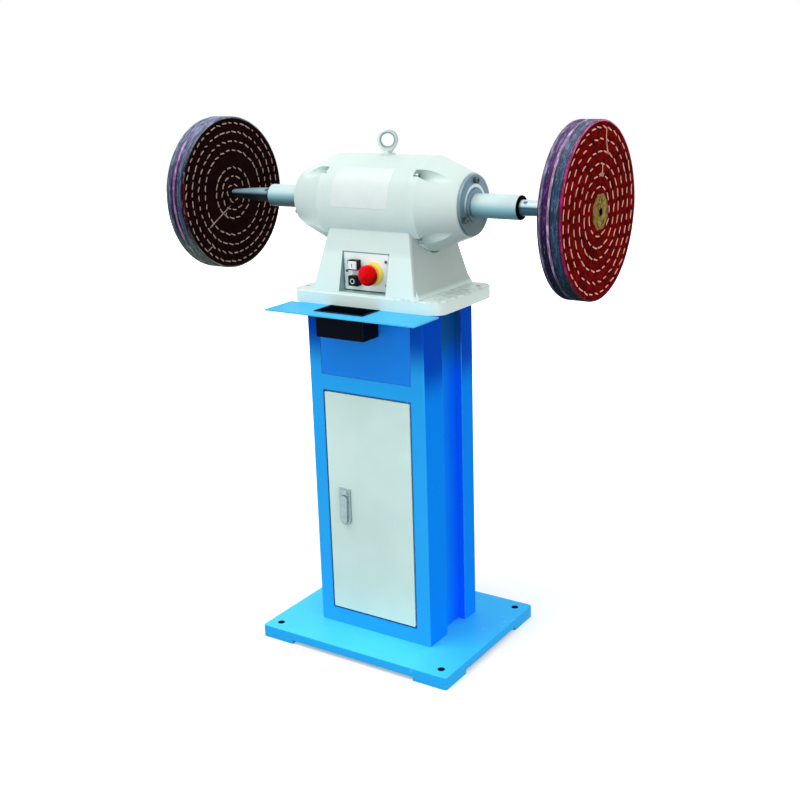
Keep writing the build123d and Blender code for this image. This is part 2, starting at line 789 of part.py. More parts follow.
def end_bell():
    """Conical end shield: turned shell with a bearing seat, and a scalloped pocket round each screw."""
    shoulder = bell_start + BELL_STRAIGHT
    seat = BEARING_DIA / 2
    lip = seat - BEARING_RING
    web = bearing_start - BEARING_SHOULDER
    points = [
        (bell_start, BARREL_RADIUS),
        (shoulder, BARREL_RADIUS),
        (bell_end, BELL_END_RADIUS),
        (bell_end, seat),
        (bearing_start, seat),
        (bearing_start, lip),
        (web, lip),
        (web, seat + BELL_WEB),
        (bell_start + BELL_INNER_STRAIGHT, BELL_INNER_RADIUS),
        (bell_start, BELL_INNER_RADIUS),
    ]
    bell = turned(points, {1: BELL_ROUND, 2: BELL_ROUND / 2})
    for place in bell_screw_places():
        bell -= place * Cylinder(POCKET_RADIUS, BELL_LENGTH, align=LOW)
        bell -= place * Pos(0, 0, -BELL_SCREW_SEAT) * Cylinder(
            CAP_SCREW_DIA / 2 + SCREW_FIT, BELL_SCREW_SEAT, align=LOW
        )
    for place in cap_screw_places():
        bell -= place * Pos(0, 0, -CAP_SCREW_LENGTH) * Cylinder(
            CAP_SCREW_DIA / 2 + SCREW_FIT, CAP_SCREW_LENGTH, align=LOW
        )
    return bell


def screw_set(places):
    screw = cap_screw(CAP_SCREW_DIA, CAP_SCREW_HEAD, CAP_SCREW_HEIGHT, CAP_SCREW_LENGTH, SOCKET_FLATS, SOCKET_DEPTH)
    right = [place * screw for place in places]
    return group(right + [mirrored(solid) for solid in right])


def bearing_cap():
    """Steel flange that holds the bearing in the bell and carries the sleeve."""
    bore = SPINDLE_DIA / 2 + CAP_BORE_CLEAR
    spigot = BEARING_DIA / 2
    socket = SLEEVE_DIA / 2
    relief = spigot - BEARING_RING
    points = [
        (bearing_end, relief),
        (bell_end, relief),
        (bell_end, bore),
        (sleeve_start, bore),
        (sleeve_start, socket),
        (cap_face + CAP_BOSS_HEIGHT, socket),
        (cap_face + CAP_BOSS_HEIGHT, CAP_BOSS_RADIUS),
        (cap_face, CAP_BOSS_RADIUS),
        (cap_face, CAP_RADIUS),
        (bell_end, CAP_RADIUS),
        (bell_end, spigot),
        (bearing_end, spigot),
    ]
    cap = turned(points, {6: CAP_BOSS_HEIGHT / 2, 8: CAP_EDGE})
    for place in cap_screw_places():
        cap -= place * Pos(0, 0, -CAP_THICK) * Cylinder(CAP_SCREW_DIA / 2 + SCREW_FIT, CAP_THICK, align=LOW)
    return cap


def sleeve():
    pipe = tube(SLEEVE_DIA / 2, SLEEVE_BORE / 2, sleeve_start, sleeve_end)
    return pipe - bar(SEAL_DIA / 2, seal_start, sleeve_end)


def sleeve_seals():
    """Rubber seals pressed into the ends of the sleeves, each with a lip that covers the sleeve's end."""
    bore = SPINDLE_DIA / 2 + SEAL_FIT
    points = [
        (seal_start, bore),
        (seal_start, SEAL_DIA / 2),
        (sleeve_end, SEAL_DIA / 2),
        (sleeve_end, SEAL_LIP_DIA / 2),
        (seal_end, SEAL_LIP_DIA / 2),
        (seal_end, bore),
    ]
    seal = turned(points, {4: SEAL_LIP_ROUND})
    return group([seal, mirrored(seal)])


# Motor and spindle

def stator_core():
    return tube(STATOR_RADIUS, STATOR_BORE / 2, -STATOR_LENGTH / 2, STATOR_LENGTH / 2)


def stator_windings():
    start = STATOR_LENGTH / 2
    end = start + WINDING_REACH
    points = [(start, WINDING_INNER), (end, WINDING_INNER), (end, WINDING_OUTER), (start, WINDING_OUTER)]
    ring = turned(points, {1: WINDING_ROUND, 2: WINDING_ROUND})
    return group([ring, mirrored(ring)])


def rotor_core():
    return tube(STATOR_BORE / 2 - AIR_GAP, SHAFT_DIA / 2, -STATOR_LENGTH / 2, STATOR_LENGTH / 2)


def rotor_shaft():
    middle = SHAFT_DIA / 2
    seat = BEARING_BORE / 2
    end = SPINDLE_DIA / 2
    stud = SPINDLE_STUD_DIA / 2
    half = [
        (bearing_start, middle),
        (bearing_start, seat),
        (bearing_end, seat),
        (bearing_end, end),
        (spindle_joint, end),
        (spindle_joint, stud),
        (spindle_joint + SPINDLE_STUD_LENGTH, stud),
        (spindle_joint + SPINDLE_STUD_LENGTH, 0),
    ]
    left = [(-x, r) for x, r in reversed(half)]
    return turned(left + half)


def ball_race():
    """Ring-shaped path of the balls, a running fit larger than they are."""
    place = Pos(bearing_start + BEARING_WIDTH / 2, SPINDLE_Y, spindle_z) * Rot(0, 90, 0)
    return place * Torus(ball_circle, BALL_DIA / 2 + BALL_FIT)


def bearing_outer_rings():
    ring = tube(BEARING_DIA / 2, BEARING_DIA / 2 - BEARING_RING, bearing_start, bearing_end) - ball_race()
    return group([ring, mirrored(ring)])


def bearing_inner_rings():
    ring = tube(BEARING_BORE / 2 + BEARING_RING, BEARING_BORE / 2, bearing_start, bearing_end) - ball_race()
    return group([ring, mirrored(ring)])


def bearing_balls():
    places = on_circle(ball_circle, BALL_COUNT, 0, bearing_start + BEARING_WIDTH / 2)
    balls = [place * Sphere(BALL_DIA / 2) for place in places]
    return group(balls + [mirrored(ball) for ball in balls])


def taper_spindle():
    """Spindle end: round foot with a cross hole, a taper that bends in, and a nose that carries the buff."""
    foot = SPINDLE_DIA / 2
    stud = SPINDLE_STUD_DIA / 2
    stud_end = spindle_joint + SPINDLE_STUD_LENGTH
    points = [
        (spindle_joint, stud),
        (spindle_joint, foot),
        (seal_end, foot),
        (seal_end + TAPER_BEND_FROM_SEAL, TAPER_BEND_DIA / 2),
        (BUFF_INNER_FACE, TAPER_END_DIA / 2),
        (BUFF_INNER_FACE, NOSE_DIA / 2),
        (nose_end, NOSE_DIA / 2),
        (nose_end, 0),
        (stud_end, 0),
        (stud_end, stud),
    ]
    spindle = turned(points, {3: TAPER_BEND_ROUND})
    place = Pos(seal_end + CROSS_HOLE_FROM_SEAL, SPINDLE_Y, spindle_z) * Rot(90 - CROSS_HOLE_UP, 0, 0)
    return spindle - place * Cylinder(CROSS_HOLE_DIA / 2, 2 * SPINDLE_DIA)


# Buffs

def clear_of_patch(radii):
    """The rings of stitches that lie outside the hub patch."""
    corner = HUB_PATCH_FLATS / 2 / math.cos(math.pi / 8)
    return [radius for radius in radii if radius - SEAM_HALF_WIDTH > corner]


def buff(x_seam, x_plain, radii):
    """One sewn section. The face at x_seam is drawn in along each ring of stitches."""
    rim = BUFF_DIA / 2
    bore = NOSE_DIA / 2 + BUFF_FIT
    inward = math.copysign(SEAM_DEPTH, x_plain - x_seam)
    points = [(x_plain, bore), (x_plain, rim), (x_seam, rim)]
    for radius in radii:
        points.append((x_seam, radius + SEAM_HALF_WIDTH))
        points.append((x_seam + inward, radius))
        points.append((x_seam, radius - SEAM_HALF_WIDTH))
    points.append((x_seam, bore))
    return turned(points, {1: BUFF_RIM_ROUND, 2: BUFF_RIM_ROUND})


def hub_patches():
    octagon = RegularPolygon(HUB_PATCH_FLATS / 2, 8, major_radius=False) - Circle(NOSE_DIA / 2)
    patch = Pos(buff_outer_face, SPINDLE_Y, spindle_z) * Rot(0, 90, 0) * extrude(octagon, HUB_PATCH_THICK)
    return group([patch, mirrored(patch)])


def eye_bolt():
    """Lifting eye: a ring that runs down in straight shoulders to a small collar, with its edges rounded."""
    seat = spindle_z + BARREL_RADIUS + EYE_PAD_HEIGHT
    collar = post(0, SPINDLE_Y, seat, seat + EYE_COLLAR_HEIGHT, EYE_COLLAR_DIA)
    shank = post(0, SPINDLE_Y, seat - EYE_SHANK, seat, EYE_SHANK_DIA)
    ring = Pos(0, EYE_HEIGHT) * Circle(EYE_DIA / 2)
    neck = Pos(0, EYE_COLLAR_HEIGHT) * Rectangle(EYE_COLLAR_DIA, EYE_COLLAR_HEIGHT)
    drop = make_hull(ring.edges() + neck.edges()) - Pos(0, EYE_HEIGHT) * Circle(EYE_HOLE / 2)
    eye = extrude(drop, EYE_THICK / 2, both=True)
    rims = [e for face in eye.faces().filter_by(Axis.Z) for e in face.edges()]
    eye = fillet(rims, EYE_ROUND)
    return collar + shank + Pos(0, SPINDLE_Y, seat) * Rot(0, 0, EYE_TURN) * Rot(90, 0, 0) * eye


# Switch

def switch_pocket(wall):
    """The pocket in the front of the pedestal, or its block grown by a wall."""
    w = POCKET_WIDTH / 2 + wall
    h = POCKET_HEIGHT / 2 + wall
    x = POCKET_CENTRE_X
    front = block(x - w, x + w, head_front - HEAD_CORNER, panel_back, pocket_z - h, pocket_z + h)
    w -= SWITCH_LEDGE
    h -= SWITCH_LEDGE
    rear = block(x - w, x + w, panel_back, POCKET_BACK + wall, pocket_z - h, pocket_z + h)
    return front + rear


def panel_screw_places():
    """Two screws at the right-hand edge of the panel and one halfway up its left-hand edge."""
    reach = POCKET_WIDTH / 2 - SWITCH_GAP - SWITCH_SCREW_INSET
    left = POCKET_CENTRE_X - reach
    right = POCKET_CENTRE_X + reach
    return [(left, pocket_z), (right, pocket_z - SWITCH_SCREW_RISE), (right, pocket_z + SWITCH_SCREW_RISE)]


def key_places():
    """Centres of the start key and the stop key."""
    return (KEY_X, key_z + KEY_PITCH / 2), (KEY_X, key_z - KEY_PITCH / 2)


def key_hole(place, y0, y1, grow):
    x, z = place
    w = KEY_WIDTH / 2 + grow
    h = KEY_HEIGHT / 2 + grow
    return block(x - w, x + w, y0, y1, z - h, z + h)


def switch_panel():
    w = POCKET_WIDTH / 2 - SWITCH_GAP
    h = POCKET_HEIGHT / 2 - SWITCH_GAP
    x = POCKET_CENTRE_X
    panel = block(x - w, x + w, SWITCH_FACE, panel_back, pocket_z - h, pocket_z + h)
    for place in key_places():
        panel -= key_hole(place, SWITCH_FACE, panel_back, KEY_FIT)
    panel -= rod(ESTOP_X, estop_z, SWITCH_FACE, panel_back, ESTOP_STEM_DIA + 2 * ESTOP_FIT)
    for x, z in panel_screw_places():
        panel -= rod(x, z, SWITCH_FACE, panel_back, SWITCH_SCREW_DIA)
    return panel


def panel_screws():
    screws = []
    for x, z in panel_screw_places():
        head = rod(x, z, SWITCH_FACE - SWITCH_SCREW_HEIGHT, SWITCH_FACE, SWITCH_SCREW_HEAD)
        shank = rod(x, z, SWITCH_FACE, panel_back + SWITCH_SCREW_LENGTH, SWITCH_SCREW_DIA)
        screws.append(head + shank)
    return group(screws)


def switch_block():
    w = BLOCK_WIDTH / 2
    h = BLOCK_HEIGHT / 2
    x = POCKET_CENTRE_X
    body = block(x - w, x + w, panel_back, panel_back + BLOCK_DEPTH, pocket_z - h, pocket_z + h)
    body = fillet(body.edges().filter_by(Axis.Y), KEY_ROUND)
    for place in key_places():
        body -= key_hole(place, panel_back, panel_back + BLOCK_BORE_DEPTH, KEY_FIT)
    return body - rod(ESTOP_X, estop_z, panel_back, panel_back + BLOCK_BORE_DEPTH, ESTOP_STEM_DIA + 2 * ESTOP_FIT)


def button_bezels():
    bezels = []
    for place in key_places():
        ring = key_hole(place, SWITCH_FACE - BEZEL_PROUD, SWITCH_FACE, KEY_FIT + BEZEL_WALL)
        ring = fillet(ring.edges().filter_by(Axis.Y), KEY_ROUND)
        bezels.append(ring - key_hole(place, SWITCH_FACE - BEZEL_PROUD, SWITCH_FACE, KEY_FIT))
    return group(bezels)


def press_key(place):
    key = key_hole(place, SWITCH_FACE - KEY_PROUD, panel_back + KEY_TAIL, 0)
    return fillet(key.faces().sort_by(Axis.Y)[0].edges(), KEY_ROUND)


def turned_on_panel(points, rounds):
    """A profile of (radius, reach from the panel) points turned about the stop button's axis."""
    profile = make_face(Polyline(*points, close=True))
    for index, radius in rounds.items():
        corner = Vector(*points[index])
        vertex = min(profile.vertices(), key=lambda v: (Vector(v.X, v.Y) - corner).length)
        profile = fillet(vertex, radius)
    plane = Plane(origin=(ESTOP_X, SWITCH_FACE, estop_z), x_dir=(1, 0, 0), z_dir=(0, 0, 1))
    flipped = mirror(plane * profile, about=Plane(origin=(ESTOP_X, SWITCH_FACE, estop_z), z_dir=(0, 1, 0)))
    return revolve(flipped, Axis((ESTOP_X, SWITCH_FACE, estop_z), (0, 1, 0)), 360)


def estop_collar():
    bore = ESTOP_STEM_DIA / 2 + ESTOP_FIT
    points = [(bore, 0), (COLLAR_DIA / 2, 0), (COLLAR_DIA / 2, COLLAR_HEIGHT / 3)]
    points += [(COLLAR_TOP_DIA / 2, COLLAR_HEIGHT), (bore, COLLAR_HEIGHT)]
    return turned_on_panel(points, {2: KEY_ROUND / 2, 3: KEY_ROUND})


def estop_stem():
    return rod(
        ESTOP_X, estop_z, SWITCH_FACE - ESTOP_STEM_SEAT, panel_back + ESTOP_STEM_TAIL, ESTOP_STEM_DIA
    )


def estop_head():
    """Mushroom head with a domed face, hollow at the back where the stem enters."""
    radius = ESTOP_DIA / 2
    rim = ESTOP_REACH - ESTOP_DOME
    stem = ESTOP_STEM_DIA / 2 + ESTOP_TURN_FIT
    under = rim - ESTOP_RIM
    points = [
        (0, ESTOP_STEM_SEAT),
        (stem, ESTOP_STEM_SEAT),
        (stem, ESTOP_UNDER),
        (ESTOP_NECK_DIA / 2, ESTOP_UNDER),
        (ESTOP_NECK_DIA / 2, under - KEY_ROUND),
        (radius, under),
        (radius, rim),
        (0, ESTOP_REACH),
    ]
    return turned_on_panel(points, {5: KEY_ROUND, 6: ESTOP_DOME})


# Cable gland

def gland_place():
    """Place on the sloping back of the pedestal, facing out of it."""
    z = head_top + GLAND_UP
    depth = pedestal_at(z)[1]
    slope = math.degrees(math.atan2((FOOT_DEPTH - WAIST_DEPTH) / 2, spindle_z - pedestal_foot))
    return [Pos(GLAND_X, SPINDLE_Y + depth / 2, z) * Rot(-90 + slope, 0, 0)]


def gland_wall():
    """Thickness of the sloping wall, measured square to it."""
    rise = spindle_z - pedestal_foot
    run = (FOOT_DEPTH - WAIST_DEPTH) / 2
    return CASTING_WALL * rise / math.hypot(rise, run)


def cable_gland():
    thread = gland_wall() + LOCKNUT_THICK + GLAND_PAST_NUT
    dome = Pos(0, 0, GLAND_HEX) * Cylinder(GLAND_DOME_DIA / 2, GLAND_DOME, align=LOW)
    dome = fillet(dome.faces().sort_by(Axis.Z)[-1].edges(), GLAND_DOME / 3)
    gland = prism(GLAND_FLATS, GLAND_HEX) + dome
    gland += Pos(0, 0, -thread) * Cylinder(GLAND_THREAD_DIA / 2, thread, align=LOW)
    gland -= Pos(0, 0, -thread) * Cylinder(GLAND_BORE / 2, thread + GLAND_HEX + GLAND_DOME, align=LOW)
    return gland_place()[0] * gland


def gland_locknut():
    nut = prism(LOCKNUT_FLATS, LOCKNUT_THICK) - Cylinder(GLAND_THREAD_DIA / 2, LOCKNUT_THICK, align=LOW)
    return gland_place()[0] * Pos(0, 0, -gland_wall() - LOCKNUT_THICK) * nut


middle_seam = BUFF_INNER_FACE + BUFF_SECTION
start_key, stop_key = key_places()

NODES = {
    "base_plate": base_plate(),
    "foot_pads": foot_pads(),
    "column_front": column_front(),
    "column_back": column_back(),
    "column_web_left": column_web(-1),
    "column_web_right": column_web(1),
    "column_top_plate": column_top_plate(),
    "upper_panel": upper_panel(),
    "tray_plate": tray_plate(),
    "compound_pot": compound_pot(),
    "cabinet_door": cabinet_door(),
    "hinge_brackets": hinge_brackets(),
    "hinge_pins": hinge_pins(),
    "latch_case": latch_case(),
    "latch_handle": latch_handle(),
    "latch_button": latch_button(),
    "latch_cam": latch_cam(),
    "latch_strike": latch_strike(),
    "head_casting": head_casting(),
    "casting_bolts": casting_bolts(),
    "casting_nuts": casting_nuts(),
    "end_bell_right": end_bell(),
    "end_bell_left": mirrored(end_bell()),
    "bell_screws": screw_set(bell_screw_places()),
    "bearing_cap_right": bearing_cap(),
    "bearing_cap_left": mirrored(bearing_cap()),
    "cap_screws": screw_set(cap_screw_places()),
    "sleeve_right": sleeve(),
    "sleeve_left": mirrored(sleeve()),
    "sleeve_seals": sleeve_seals(),
    "stator_core": stator_core(),
    "stator_windings": stator_windings(),
    "rotor_core": rotor_core(),
    "rotor_shaft": rotor_shaft(),
    "bearing_outer_rings": bearing_outer_rings(),
    "bearing_inner_rings": bearing_inner_rings(),
    "bearing_balls": bearing_balls(),
    "taper_spindle_right": taper_spindle(),
    "taper_spindle_left": mirrored(taper_spindle()),
    "buff_right_inner": buff(BUFF_INNER_FACE, middle_seam, SEAMS_RIGHT),
    "buff_right_outer": buff(buff_outer_face, middle_seam, clear_of_patch(SEAMS_RIGHT)),
    "buff_left_inner": buff(-BUFF_INNER_FACE, -middle_seam, SEAMS_LEFT),
    "buff_left_outer": buff(-buff_outer_face, -middle_seam, clear_of_patch(SEAMS_LEFT)),
    "hub_patches": hub_patches(),
    "eye_bolt": eye_bolt(),
    "switch_panel": switch_panel(),
    "panel_screws": panel_screws(),
    "switch_block": switch_block(),
    "button_bezels": button_bezels(),
    "start_button": press_key(start_key),
    "stop_button": press_key(stop_key),
    "estop_collar": estop_collar(),
    "estop_stem": estop_stem(),
    "estop_head": estop_head(),
    "cable_gland": cable_gland(),
    "gland_locknut": gland_locknut(),
}

os.makedirs("parts", exist_ok=True)
for name, solid in NODES.items():
    export_step(solid, f"parts/{name}.step")
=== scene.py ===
import math
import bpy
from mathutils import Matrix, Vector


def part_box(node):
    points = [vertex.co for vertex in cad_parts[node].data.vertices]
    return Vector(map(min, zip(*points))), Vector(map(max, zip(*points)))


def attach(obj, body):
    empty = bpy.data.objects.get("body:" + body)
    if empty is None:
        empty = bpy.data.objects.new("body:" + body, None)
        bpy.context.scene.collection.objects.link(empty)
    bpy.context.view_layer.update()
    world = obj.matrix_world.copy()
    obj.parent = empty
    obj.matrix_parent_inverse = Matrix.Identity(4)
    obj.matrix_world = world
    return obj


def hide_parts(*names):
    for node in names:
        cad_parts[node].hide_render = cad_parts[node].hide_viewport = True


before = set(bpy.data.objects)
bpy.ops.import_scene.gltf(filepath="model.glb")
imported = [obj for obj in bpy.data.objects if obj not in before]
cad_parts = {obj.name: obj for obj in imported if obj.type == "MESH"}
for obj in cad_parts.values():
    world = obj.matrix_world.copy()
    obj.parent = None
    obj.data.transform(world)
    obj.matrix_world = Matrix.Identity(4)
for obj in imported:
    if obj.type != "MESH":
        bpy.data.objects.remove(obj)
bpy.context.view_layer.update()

from types import SimpleNamespace

import bmesh
import bpy
import numpy as np
from mathutils import Matrix

MM = 0.001
DEGREE = math.pi / 180
TURN = 2 * math.pi

# Camera, solved from the photograph: angles in degrees, lengths in metres, lens on a 36 mm sensor.
CAMERA_AZIMUTH = 33.584
CAMERA_ELEVATION = 16.644
CAMERA_ROLL = -1.787
CAMERA_DISTANCE = 2.67015
CAMERA_TARGET = (0.00805, 0.021, 0.55615)
CAMERA_LENS = 53.234
SENSOR = 36.0

# Lamps: place, target, width in metres and power in watts.
KEY_LAMP = ((-2.65, -3.15, 7.9), (0.0, 0.0, 0.8), 4.4, 235)
RIGHT_LAMP = ((2.6, -1.7, 0.7), (0.1, 0.0, 0.6), 1.6, 20)
WORLD_LIGHT = 0.92

# Floor: half its width, and the glow that lifts it to white between two distances from the object.
FLOOR_HALF = 7.0
GLOW_REACH = (0.5, 1.6)
GLOW = (0.3, 1.0)

# Meshes: reach within which a CAD node's loose triangles join and the angle past which its edges stay sharp,
# and for new pieces the reach within which doubled points merge and the length below which an edge is dropped.
WELD_REACH = 0.002 * MM
CREASE_ANGLE = 28 * DEGREE
DOUBLE_REACH = 1e-7
SLIVER = 1e-8

# Column: drops from its top between which the painted shadow under the tray sets in, how much lower it reaches
# in the recesses and on the walls, stations along y between which painted shade deepens a recess, and the
# reach of the painted shade in the gap round the door.
SHADE_DROPS = (135 * MM, 45 * MM)
RECESS_DROP = 45 * MM
WALL_DROP = 60 * MM
RECESS_DEEPENS = (-5 * MM, 50 * MM)
GAP_SHADE_MARGIN = np.array([4.6, 40.0, 4.6]) * MM

# Base plate: half the spacing of its anchor holes, their radius, and the run over which painted shade deepens
# its top.
ANCHOR_HALF = (220 * MM, 170 * MM)
ANCHOR_RADIUS = 8 * MM
TOP_SHADE_RUN = (0.0, 240 * MM)

# Casting: thickness of its flange above the tray, reach of the painted shade on the switch hollow's walls
# round the panel, stations along the spindle between which the bells' own white sets in, heights above the
# flange where the painted light that pales the pedestal ends, stations of the flange's dust, and heights from
# the axis where its painted shade ends.
FLANGE_THICK = 28 * MM
HOLLOW_MARGIN = np.array([2.6, 50.0, 2.6]) * MM
BELL_STATIONS = (105 * MM, 150 * MM)
PEDESTAL_LIGHT_TOP = (76 * MM, 96 * MM)
DUST_STATIONS = (40 * MM, 120 * MM)
SHADE_TOP = (-60 * MM, 20 * MM)

# Painted highlight ring on the right flange, the lifting ring's two radii, and the reach of the stop head's
# painted light and shade.
FLANGE_HIGHLIGHT_RING = (37.5 * MM, 44 * MM)
EYE_HOLE, EYE_RIM = 13.5 * MM, 22.5 * MM
STOP_REACH = 22 * MM

# Bare plate on the front of the barrel: stations along the spindle, degrees up from the front, radius of its
# corners, thickness, glue under it, and points up and across it.
PLATE_X = (-85 * MM, 59 * MM)
PLATE_ANGLES = (-2.0, 50.5)
PLATE_CORNER = 4 * MM
PLATE_THICK = 0.35 * MM
PLATE_GLUE = 0.05 * MM
PLATE_ROWS, PLATE_COLUMNS = 61, 41

# Marks on the keys: half the bar's height, the ring's radius, and the raised line's width, height and sides.
BAR_HALF = 4.2 * MM
BAR_POINTS = 15
RING_RADIUS = 4.9 * MM
RING_POINTS = 48
MARK_WIDTH = 1.9 * MM
MARK_HEIGHT = 0.5 * MM
MARK_SIDES = 10

# Wheels: points round them, along the plain face, over the rim and along the sewn face, then the bore, how far
# the rim is rounded, frayed and swayed, how far the sewn face is uneven and eased at the rim, the groups of
# plies with their relief, and the pitch of the weave.
WHEEL_TURN, WHEEL_PLAIN, WHEEL_RIM, WHEEL_FACE = 540, 5, 56, 66
WHEEL_BORE = 6.6 * MM
RIM_ROUND = 4.0 * MM
RIM_FRAY = 0.35 * MM
RIM_SWAY = 0.3 * MM
FACE_RIPPLE = 0.25 * MM
FACE_EASE = 0.4 * MM
PLY_GROUPS = 11
PLY_DEPTH = 0.8 * MM
WEAVE_PITCH = 1.6 * MM

# Stitches: the valley that they draw in the cloth, their section, how far they sink, the points along and
# round them, how far they stray from ring, place, length and slant, their own slant, half the strip of painted
# shade and soil along a seam, and what sets the random draws of the outer sections and of the stitches apart.
QUILT_DEPTH = 2.8 * MM
QUILT_WIDTH = 5.5 * MM
STITCH_WIDTH = 3.3 * MM
STITCH_HEIGHT = 2.0 * MM
STITCH_SINK = 0.3 * MM
STITCH_STEPS, STITCH_SIDES = 9, 7
RING_STRAY, PLACE_STRAY, LENGTH_STRAY, SLANT_STRAY = 0.35 * MM, 0.6 * MM, 1.3 * MM, 0.9 * MM
STITCH_SLANT = 0.9 * MM
SEAM_HALF = 7 * MM
OUTER_SEED, STITCH_SEED = 3, 50

# Hub patches: hole, thickness, what is trimmed off and worn off their edge, and points round and across.
PATCH_HOLE = 6.5 * MM
PATCH_THICK = 2 * MM
PATCH_TRIM = 0.2 * MM
PATCH_WEAR = 0.012
PATCH_TURN, PATCH_STEPS = 240, 16
PATCH_EDGE_SEED, PATCH_FACE_SEED = 31, 37

# Colours as linear values: the stage
WHITE = (1.0, 1.0, 1.0)
FLOOR_PALE = (0.8, 0.81, 0.82)
FLOOR_DIM = (0.36, 0.37, 0.38)

# Colours of the stand
COLUMN_BLUE = (0.026, 0.43, 1.0)
# Side walls and recess webs: deeper copies of the column's blue, as painted shade.
SHADED_WALL_BLUE = (0.003, 0.265, 1.0)
RECESS_SHADE_BLUE = (0.002, 0.16, 1.0)
# Painted shadow under the tray, on the column and in its recesses.
TOP_SHADE_BLUE = (0.001, 0.05, 0.5)
RECESS_TOP_SHADE = (0.006, 0.075, 0.22)
# Painted shade in the gap round the door.
GAP_SHADE_BLUE = (0.003, 0.11, 0.45)
RUBBED_BLUE = (0.3, 0.62, 0.95)
# Base plate: its top a paler blue as painted light, its edges, pads and painted shade a deeper blue.
BASE_BLUE = (0.08, 0.73, 1.0)
BASE_SHADE_BLUE = (0.022, 0.46, 1.0)
RUBBED_BASE = (0.5, 0.86, 0.98)
# Painted shade in the anchor holes.
HOLE_SHADE_BLACK = (0.002, 0.006, 0.02)
PANEL_BLUE = (0.01, 0.265, 0.95)
TRAY_BLUE = (0.045, 0.55, 0.93)
POT_BLACK = (0.002, 0.004, 0.008)
DOOR_MINT = (0.66, 0.87, 0.825)
RUBBED_EDGE = (0.72, 0.84, 0.92)

# Colours of the head. The oil colours are painted shade under turned steel, and the film is the share of
# each colour that shows through a thinner painted shade higher up.
CAST_WHITE = (0.645, 0.775, 0.735)
BELL_WHITE = (0.69, 0.825, 0.785)
# Painted shade on the switch hollow's walls.
HOLLOW_SHADE_GREY = (0.2, 0.38, 0.42)
CASTING_DUST = (0.3, 0.36, 0.32)
FLANGE_STEEL = (0.23, 0.37, 0.46)
FLANGE_UNDERSHADE = (0.08, 0.145, 0.165)
# Painted highlight ring on the right flange.
HIGHLIGHT_STEEL = (0.74, 0.95, 0.97)
SLEEVE_STEEL = (0.68, 0.85, 0.87)
SPINDLE_STEEL = (0.66, 0.86, 0.92)
# Left taper: a darker copy of the taper steel, painted shade.
SHADED_SPINDLE_STEEL = (0.34, 0.54, 0.64)
SLEEVE_UNDERSHADE = (0.08, 0.23, 0.28)
UNDERSHADE_FILM = (0.55, 0.83, 0.88)
DARK_UNDERSHADE = (0.006, 0.013, 0.018)
TEAL_UNDERSHADE = (0.03, 0.11, 0.16)
STEEL = (0.52, 0.53, 0.55)
BLACK_STEEL = (0.07, 0.095, 0.095)
ZINC = (0.38, 0.53, 0.54)
SCREW_ZINC = (0.4, 0.5, 0.5)
EYE_ZINC = (0.72, 0.92, 0.88)
RUBBER_BLACK = (0.002, 0.002, 0.003)
RUBBER_BLOOM = (0.009, 0.009, 0.01)
SHEET_DARK = (0.08, 0.08, 0.085)
SHEET_IRON = (0.2, 0.195, 0.19)
SHEET_VARNISH = (0.11, 0.05, 0.02)
COPPER_DARK = (0.2, 0.07, 0.025)
COPPER = (0.56, 0.24, 0.09)
PLATE_WHITE = (0.7, 0.785, 0.765)
PLATE_HANDLED = (0.66, 0.755, 0.73)

# Colours of the switch
SWITCH_GREY = (0.86, 0.99, 0.98)
KEY_WHITE = (0.9, 1.0, 0.99)
KEY_BLACK = (0.003, 0.006, 0.009)
MARK_GREY = (0.2, 0.26, 0.27)
MARK_WHITE = (0.8, 0.84, 0.85)
STOP_RED = (0.75, 0.0006, 0.002)
# Painted highlight on the stop head.
HIGHLIGHT_RED = (0.95, 0.002, 0.03)
STOP_YELLOW = (0.93, 0.7, 0.12)

# Colours of the wheels
MAROON = (0.2, 0.0016, 0.0018)
MAROON_DEEP = (0.03, 0.0008, 0.0008)
UMBER = (0.013, 0.0024, 0.0024)
UMBER_DEEP = (0.005, 0.0012, 0.0016)
# Painted shade in the bores of the wheels and their patches.
BORE_SHADE_BLACK = (0.003, 0.002, 0.002)
# Rim undersides: painted shade on the right wheel, a grey on the left.
DARK_RIM_SHADE = (0.008, 0.022, 0.03)
GREY_POLISH = (0.25, 0.33, 0.25)
# Painted light on top of the rims.
MAUVE_TOP_LIGHT = (0.44, 0.4, 0.6)
BLUE_TOP_LIGHT = (0.4, 0.46, 0.66)
CUT_DARK = (0.006, 0.01, 0.018)
LINT = (0.6, 0.62, 0.74)
SLATE = (0.05, 0.085, 0.14)
TEAL_GREY = (0.12, 0.18, 0.24)
NAVY = (0.014, 0.016, 0.05)
DENIM = (0.045, 0.105, 0.19)
STEEL_BLUE = (0.12, 0.15, 0.25)
PURPLE = (0.1, 0.024, 0.19)
PLUM = (0.12, 0.025, 0.16)
LILAC = (0.62, 0.4, 0.74)
PINK_LILAC = (0.55, 0.27, 0.55)
GREY_LILAC = (0.26, 0.22, 0.4)
DULL_RED = (0.24, 0.02, 0.08)
MAGENTA = (0.46, 0.014, 0.15)
THREAD_PINK = (1.0, 0.5, 0.38)
THREAD_CREAM = (0.52, 0.385, 0.32)
HIDE_TAN = (0.24, 0.14, 0.045)
HIDE_YELLOW = (0.36, 0.29, 0.06)
HIDE_GREEN = (0.055, 0.058, 0.006)

